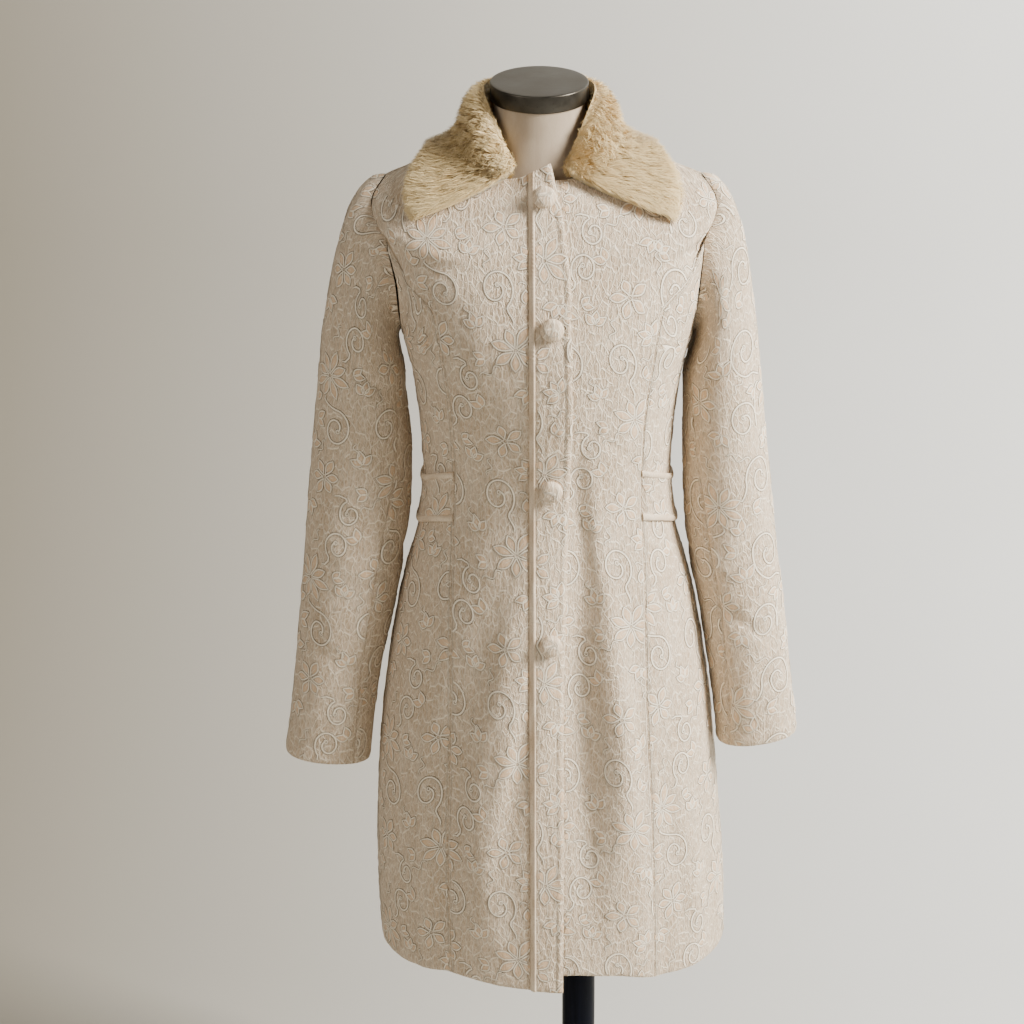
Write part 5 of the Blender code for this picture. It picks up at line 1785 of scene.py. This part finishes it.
class Shade:
    """Short calls for building one material's nodes."""

    def __init__(self, name, **settings):
        self.material = bpy.data.materials.new(name)
        self.material.use_nodes = True
        self.tree = self.material.node_tree
        self.shader = self.tree.nodes["Principled BSDF"]
        for label, value in settings.items():
            self.shader.inputs[label.replace("_", " ")].default_value = value

    def add(self, kind, sockets=(), **settings):
        node = self.tree.nodes.new("ShaderNode" + kind)
        for label, value in settings.items():
            setattr(node, label, value)
        for label, value in dict(sockets).items():
            if isinstance(value, bpy.types.NodeSocket):
                self.tree.links.new(value, node.inputs[label])
            else:
                node.inputs[label].default_value = value
        return node

    def math(self, operation, first, second=0.0, clamp=False):
        sockets = {0: first, 1: second}
        return self.add("Math", sockets, operation=operation, use_clamp=clamp).outputs[0]

    def mix(self, share, first, second):
        node = self.add("Mix", {0: share, 6: first, 7: second}, data_type="RGBA")
        return node.outputs[2]

    def value(self, name):
        return self.add("Attribute", attribute_name=name).outputs["Fac"]

    def flat(self):
        return self.add("UVMap", uv_map="flat").outputs[0]

    def place(self):
        return self.add("TexCoord").outputs["Object"]

    def noise(self, vector, stretch, detail=2.0, roughness=0.55):
        """Noise with a number of waves to the metre along each axis."""
        mapping = self.add("Mapping", {"Vector": vector, "Scale": stretch})
        sockets = {"Vector": mapping.outputs[0], "Scale": 1.0, "Detail": detail,
                   "Roughness": roughness}
        return self.add("TexNoise", sockets).outputs["Fac"]

    def crackle(self, vector, stretch, width):
        """Thin branching lines between cells of so many to the metre along each axis."""
        bent = self.noise(vector, (70.0, 45.0, 1.0), 2.0)
        bend = self.add("VectorMath", {0: vector, 1: (0.0, 0.0, 0.0)}, operation="ADD")
        swing = self.math("MULTIPLY", self.math("SUBTRACT", bent, 0.5), 0.012)
        self.tree.links.new(self.add("CombineXYZ", {0: swing}).outputs[0], bend.inputs[1])
        mapping = self.add("Mapping", {"Vector": bend.outputs[0], "Scale": (*stretch, 1.0)})
        cells = self.add("TexVoronoi", {"Vector": mapping.outputs[0], "Scale": 1.0},
                         voronoi_dimensions="2D", feature="DISTANCE_TO_EDGE")
        return self.span(cells.outputs["Distance"], 0.0, width, 1.0, 0.0)

    def span(self, value, low, high, first, last):
        """A value's stretch from low to high, mapped on to another and kept within it."""
        sockets = {0: value, 1: low, 2: high, 3: first, 4: last}
        return self.add("MapRange", sockets, clamp=True).outputs[0]

    def bump(self, height):
        """Relief in metres."""
        node = self.add("Bump", {"Strength": 1.0, "Distance": 1.0, "Height": height})
        self.tree.links.new(node.outputs[0], self.shader.inputs["Normal"])

    def colour(self, socket):
        self.tree.links.new(socket, self.shader.inputs["Base Color"])

    def roughness(self, socket):
        self.tree.links.new(socket, self.shader.inputs["Roughness"])


GROUND = linear(214, 193, 164)
GROUND_SHADE = linear(196, 172, 141)
PETAL = linear(213, 178, 138)
RIDGE = linear(246, 232, 206)
# GROOVE is the painted shade in the grooves beside the raised lines; the ground's crinkle and the
# cords take it too, as darker flecks.
GROOVE = linear(148, 122, 92)
CORD = linear(228, 210, 182)


def jacquard_material(name, raised, depth=1.0):
    """The woven ground with its crinkle, or the raised lines with their yarn and painted shade in the
    grooves beside them.
    """
    shade = Shade(name, Roughness=0.82, Sheen_Weight=0.12, Sheen_Roughness=0.5)
    flat = shade.flat()
    crepe = shade.noise(flat, (520.0, 150.0, 1.0), 3.0, 0.6)
    creep = shade.noise(flat, (230.0, 60.0, 1.0), 2.0, 0.5)
    weave = shade.noise(flat, (1500.0, 1500.0, 1.0), 1.0)
    slub = shade.noise(flat, (36.0, 14.0, 1.0), 3.0)
    ground = shade.mix(shade.span(slub, 0.3, 0.7, 0.0, 1.0), GROUND, GROUND_SHADE)
    ground = shade.mix(shade.span(crepe, 0.42, 0.64, 0.0, 0.60), ground, GROOVE)
    large = shade.crackle(flat, (150.0, 52.0), 0.085)
    small = shade.crackle(flat, (300.0, 118.0), 0.11)
    hair = shade.math("MAXIMUM", large, shade.math("MULTIPLY", small, 0.6))
    ground = shade.mix(shade.math("MULTIPLY", hair, 0.85), ground, RIDGE)
    height = shade.math("MULTIPLY", crepe, 0.00110)
    height = shade.math("ADD", height, shade.math("MULTIPLY", creep, 0.00170))
    height = shade.math("ADD", height, shade.math("MULTIPLY", weave, 0.00012))
    height = shade.math("ADD", height, shade.math("MULTIPLY", hair, 0.00060))
    height = shade.math("MULTIPLY", height, depth)
    if raised:
        tone = shade.value("tone")
        fill = shade.value("fill")
        filled = shade.mix(shade.math("MULTIPLY", fill, 0.75), ground, PETAL)
        # Painted shade: the negative tone darkens the grooves beside each line towards GROOVE; the
        # positive tone lightens the line's top towards RIDGE.
        dark = shade.math("MULTIPLY", tone, -0.6, clamp=True)
        light = shade.math("MULTIPLY", tone, 0.85, clamp=True)
        shade.colour(shade.mix(light, shade.mix(dark, filled, GROOVE), RIDGE))
        crossed = shade.math("ABSOLUTE", tone)
        smooth = shade.math("MAXIMUM", crossed, shade.math("MULTIPLY", fill, 0.6))
        plain = shade.math("SUBTRACT", 1.0, smooth, clamp=True)
        shade.bump(shade.math("MULTIPLY", height, plain))
        return shade.material
    shade.colour(ground)
    shade.bump(height)
    shade.roughness(shade.span(crepe, 0.3, 0.7, 0.88, 0.74))
    return shade.material


def cord_material():
    shade = Shade("twisted cord", Roughness=0.7, Sheen_Weight=0.1)
    flat = shade.flat()
    fibre = shade.noise(flat, (900.0, 500.0, 1.0), 2.0)
    tone = shade.noise(flat, (90.0, 26.0, 1.0), 2.0)
    mixed = shade.mix(shade.span(tone, 0.35, 0.65, 0.0, 1.0), CORD, GROUND_SHADE)
    shade.colour(shade.mix(shade.span(fibre, 0.45, 0.75, 0.0, 0.5), mixed, GROOVE))
    shade.bump(shade.math("MULTIPLY", fibre, 0.00018))
    return shade.material


def pile_material():
    """The strands: painted shade at the roots, cream lengths and pale tips, tuft by tuft."""
    shade = Shade("long pile", Roughness=0.55, Sheen_Weight=0.25, Sheen_Roughness=0.4)
    tuft = shade.mix(shade.value("tone"), linear(220, 195, 142), linear(198, 167, 109))
    tips = shade.mix(shade.span(shade.value("grow"), 0.55, 1.0, 0.0, 0.6), tuft,
                     linear(237, 218, 171))
    # Painted shade deep in the pile: the strands darken towards their roots.
    depth = shade.span(shade.value("grow"), 0.0, 0.45, 0.0, 1.0)
    shade.colour(shade.mix(depth, linear(202, 175, 122), tips))
    return shade.material


def skin_material():
    shade = Shade("pile backing", Roughness=0.9, Sheen_Weight=0.3)
    tone = shade.noise(shade.place(), (220.0, 220.0, 220.0), 3.0)
    shade.colour(shade.mix(shade.span(tone, 0.35, 0.65, 0.0, 1.0), linear(200, 173, 121),
                           linear(212, 188, 138)))
    shade.bump(shade.math("MULTIPLY", tone, 0.0012))
    return shade.material


def linen_material():
    """The form's smooth, slightly uneven cover."""
    shade = Shade("linen cover", Roughness=0.75, Sheen_Weight=0.15)
    flat = shade.flat()
    warp = shade.noise(flat, (1900.0, 240.0, 1.0), 2.0)
    weft = shade.noise(flat, (240.0, 1900.0, 1.0), 2.0)
    thread = shade.math("ADD", warp, weft)
    cloud = shade.noise(flat, (22.0, 22.0, 1.0), 3.0)
    cover = shade.mix(shade.span(cloud, 0.35, 0.65, 0.0, 1.0), linear(170, 153, 130),
                      linear(156, 138, 115))
    shade.colour(shade.mix(shade.span(thread, 0.85, 1.2, 0.0, 0.3), cover, linear(136, 118, 97)))
    shade.bump(shade.math("MULTIPLY", thread, 0.00010))
    return shade.material


def cap_material():
    """Dark pewter, brushed and rubbed, with small pits."""
    shade = Shade("dark pewter", Metallic=1.0, Roughness=0.3)
    place = shade.place()
    brushed = shade.noise(place, (60.0, 60.0, 1800.0), 3.0)
    cloud = shade.noise(place, (38.0, 38.0, 38.0), 4.0)
    pits = shade.noise(place, (420.0, 420.0, 420.0), 2.0)
    body = shade.mix(shade.span(cloud, 0.35, 0.7, 0.0, 1.0), linear(66, 62, 55),
                     linear(88, 84, 76))
    shade.colour(shade.mix(shade.span(pits, 0.66, 0.74, 0.0, 0.7), body, linear(62, 56, 50)))
    shade.roughness(shade.span(cloud, 0.3, 0.7, 0.28, 0.46))
    relief = shade.math("MULTIPLY", brushed, 0.00006)
    shade.bump(shade.math("SUBTRACT", relief, shade.math("MULTIPLY", pits, 0.00005)))
    return shade.material


def pole_material():
    """Near-black lacquer with faint streaks and dust."""
    shade = Shade("dark lacquer", Roughness=0.6, Specular_IOR_Level=0.06)
    place = shade.place()
    streak = shade.noise(place, (260.0, 260.0, 9.0), 3.0)
    dust = shade.noise(place, (700.0, 700.0, 700.0), 2.0)
    body = shade.mix(shade.span(streak, 0.35, 0.65, 0.0, 1.0), linear(6, 8, 16),
                     linear(14, 17, 28))
    shade.colour(shade.mix(shade.span(dust, 0.68, 0.8, 0.0, 0.35), body, linear(70, 70, 74)))
    shade.roughness(shade.span(streak, 0.3, 0.7, 0.3, 0.48))
    shade.bump(shade.math("MULTIPLY", streak, 0.00004))
    return shade.material


def studio_material(name, dim, colour, step):
    """A matt wall and floor with painted window light: paler towards +X, the window's side, darker
    towards -X.
    """
    shade = Shade(name, Roughness=0.9)
    place = shade.place()
    grain = shade.noise(place, (step, step, step), 3.0)
    across = shade.add("SeparateXYZ", {0: place}).outputs[0]
    # Painted light and shade: the sweep runs from the dim colour at -X to the pale one at +X, as if
    # lit from the window.
    plain = shade.mix(shade.span(across, -0.9, 1.1, 0.0, 1.0), dim, colour)
    shade.colour(shade.mix(shade.span(grain, 0.3, 0.7, 0.0, 0.06), plain, dim))
    return shade.material


def declare(cloth, obj):
    """States the flat cut of what shows of a cloth piece."""
    width, length, area = cloth.flat_size()
    print(f"flat {obj.name}: {width:.3f} x {length:.3f} m, {area:.3f} square metres")


def make_coat():
    ground = jacquard_material("jacquard ground", raised=False)
    raised = jacquard_material("jacquard lines", raised=True)
    cord = cord_material()
    for cloth, covered in body_cloths() + sleeve_cloths():
        obj = cloth_object(cloth, ground)
        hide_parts(cloth.name)
        obj.name = cloth.name + "_cloth"
        pattern = pattern_object(cloth, raised, covered)
        extra = []
        if cloth.name == "front_placket":
            welt = placket_welt(cord)
            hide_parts("placket_welt")
            extra.append(welt)
        declare(cloth, obj)
    for cloth, welts in waist_bands():
        obj = cloth_object(cloth, ground)
        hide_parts(cloth.name)
        obj.name = cloth.name + "_cloth"
        extra = [pattern_object(cloth, raised)]
        for name, rows, first, last in welts:
            welt = cord_object(
                name + "_cord", rows, first, last, body_place(), strip_rise, False, cord
            )
            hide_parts(name)
            extra.append(welt)
        declare(cloth, obj)
    cover = jacquard_material("button cover", raised=False, depth=BUTTON_DEPTH)
    for piece in buttons(cover, raised):
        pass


def make_collar():
    skin = collar_skin(skin_material())
    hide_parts("fur_collar")
    strands = pile(pile_material())
    width, length, area = collar_flat_size()
    print(f"flat {skin.name}: {width:.3f} x {length:.3f} m, {area:.3f} square metres")


def make_stand():
    cover = form_body(linen_material())
    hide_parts("form_torso")
    axis = Euler((CAP_TILT, 0.0, 0.0)).to_matrix() @ Vector((0.0, 0.0, 1.0))
    pewter = cap_material()
    cap = lathe(
        "neck_cap", rounded_disc(CAP_RADIUS, CAP_HEIGHT, 0.0014, 0.0004), 96, axis,
        CAP_TOP - axis * CAP_HEIGHT, pewter,
    )
    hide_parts("form_neck_cap")
    lacquer = pole_material()
    low = BASE_HEIGHT + SEAM
    high = FORM_FOOT - SEAM
    pole = lathe(
        "post", [(0.0, 0.0), (POLE_RADIUS, 0.0), (POLE_RADIUS, high - low), (0.0, high - low)],
        64, (0.0, 0.0, 1.0), (POLE_X, 0.0, low), lacquer,
    )
    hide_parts("stand_pole")
    base = lathe(
        "base_plate", rounded_disc(BASE_RADIUS, BASE_HEIGHT, 0.003), 128, (0.0, 0.0, 1.0),
        (POLE_X, 0.0, 0.0), lacquer,
    )
    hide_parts("stand_base")


def add_sweep(material):
    """A floor that curves up into a wall behind the coat."""
    turn = np.linspace(0.0, 0.5 * math.pi, 17)
    curve = [(SWEEP_BACK - SWEEP_RADIUS * (1.0 - math.sin(t)), SWEEP_RADIUS * (1.0 - math.cos(t)))
             for t in turn]
    line = [(-SWEEP_REACH, 0.0)] + curve + [(SWEEP_BACK, SWEEP_REACH)]
    points = [[(x, y, z) for x in (-SWEEP_REACH, SWEEP_REACH)] for y, z in line]
    index = np.arange(2 * len(line)).reshape(-1, 2)
    quads = np.stack([index[:-1, 0], index[:-1, 1], index[1:, 1], index[1:, 0]], -1)
    mesh = mesh_from("sweep", np.array(points), [quads])
    mesh.materials.append(material)
    obj = bpy.data.objects.new("sweep", mesh)
    bpy.context.scene.collection.objects.link(obj)


def add_light(name, place, aim, size, energy, colour=(1.0, 1.0, 1.0)):
    light = bpy.data.lights.new(name, "AREA")
    light.shape = "RECTANGLE"
    light.size, light.size_y = size
    light.energy = energy
    light.color = colour
    obj = bpy.data.objects.new(name, light)
    obj.location = place
    obj.rotation_euler = (Vector(aim) - Vector(place)).to_track_quat("-Z", "Y").to_euler()
    bpy.context.scene.collection.objects.link(obj)


def make_studio():
    # The sweep's first colour is the painted shade away from the window, the second the painted
    # window light.
    add_sweep(studio_material("pale studio", linear(150, 143, 128), linear(226, 227, 224), 2.5))
    add_light("window", (2.4, -0.80, 2.5), (0.0, 0.1, 1.15), (0.9, 1.6), 330.0, (1.0, 0.975, 0.94))
    add_light("fill", (-2.4, -2.2, 2.2), (0.0, 0.0, 1.1), (2.4, 2.4), 52.0, (1.0, 0.95, 0.89))
    world = bpy.data.worlds.new("soft room")
    world.use_nodes = True
    background = world.node_tree.nodes["Background"]
    background.inputs["Color"].default_value = (0.90, 0.88, 0.86, 1.0)
    background.inputs["Strength"].default_value = 0.15
    bpy.context.scene.world = world
    camera = bpy.data.cameras.new("camera")
    camera.lens = CAMERA_LENS
    camera.sensor_width = 36.0
    obj = bpy.data.objects.new("camera", camera)
    obj.location = CAMERA_PLACE
    pitch = math.radians(90.0 - CAMERA_PITCH)
    obj.rotation_euler = (pitch, math.radians(CAMERA_ROLL), 0.0)
    bpy.context.scene.collection.objects.link(obj)
    bpy.context.scene.camera = obj


JACQUARD = jacquard_patches()
make_studio()
make_stand()
make_coat()
make_collar()
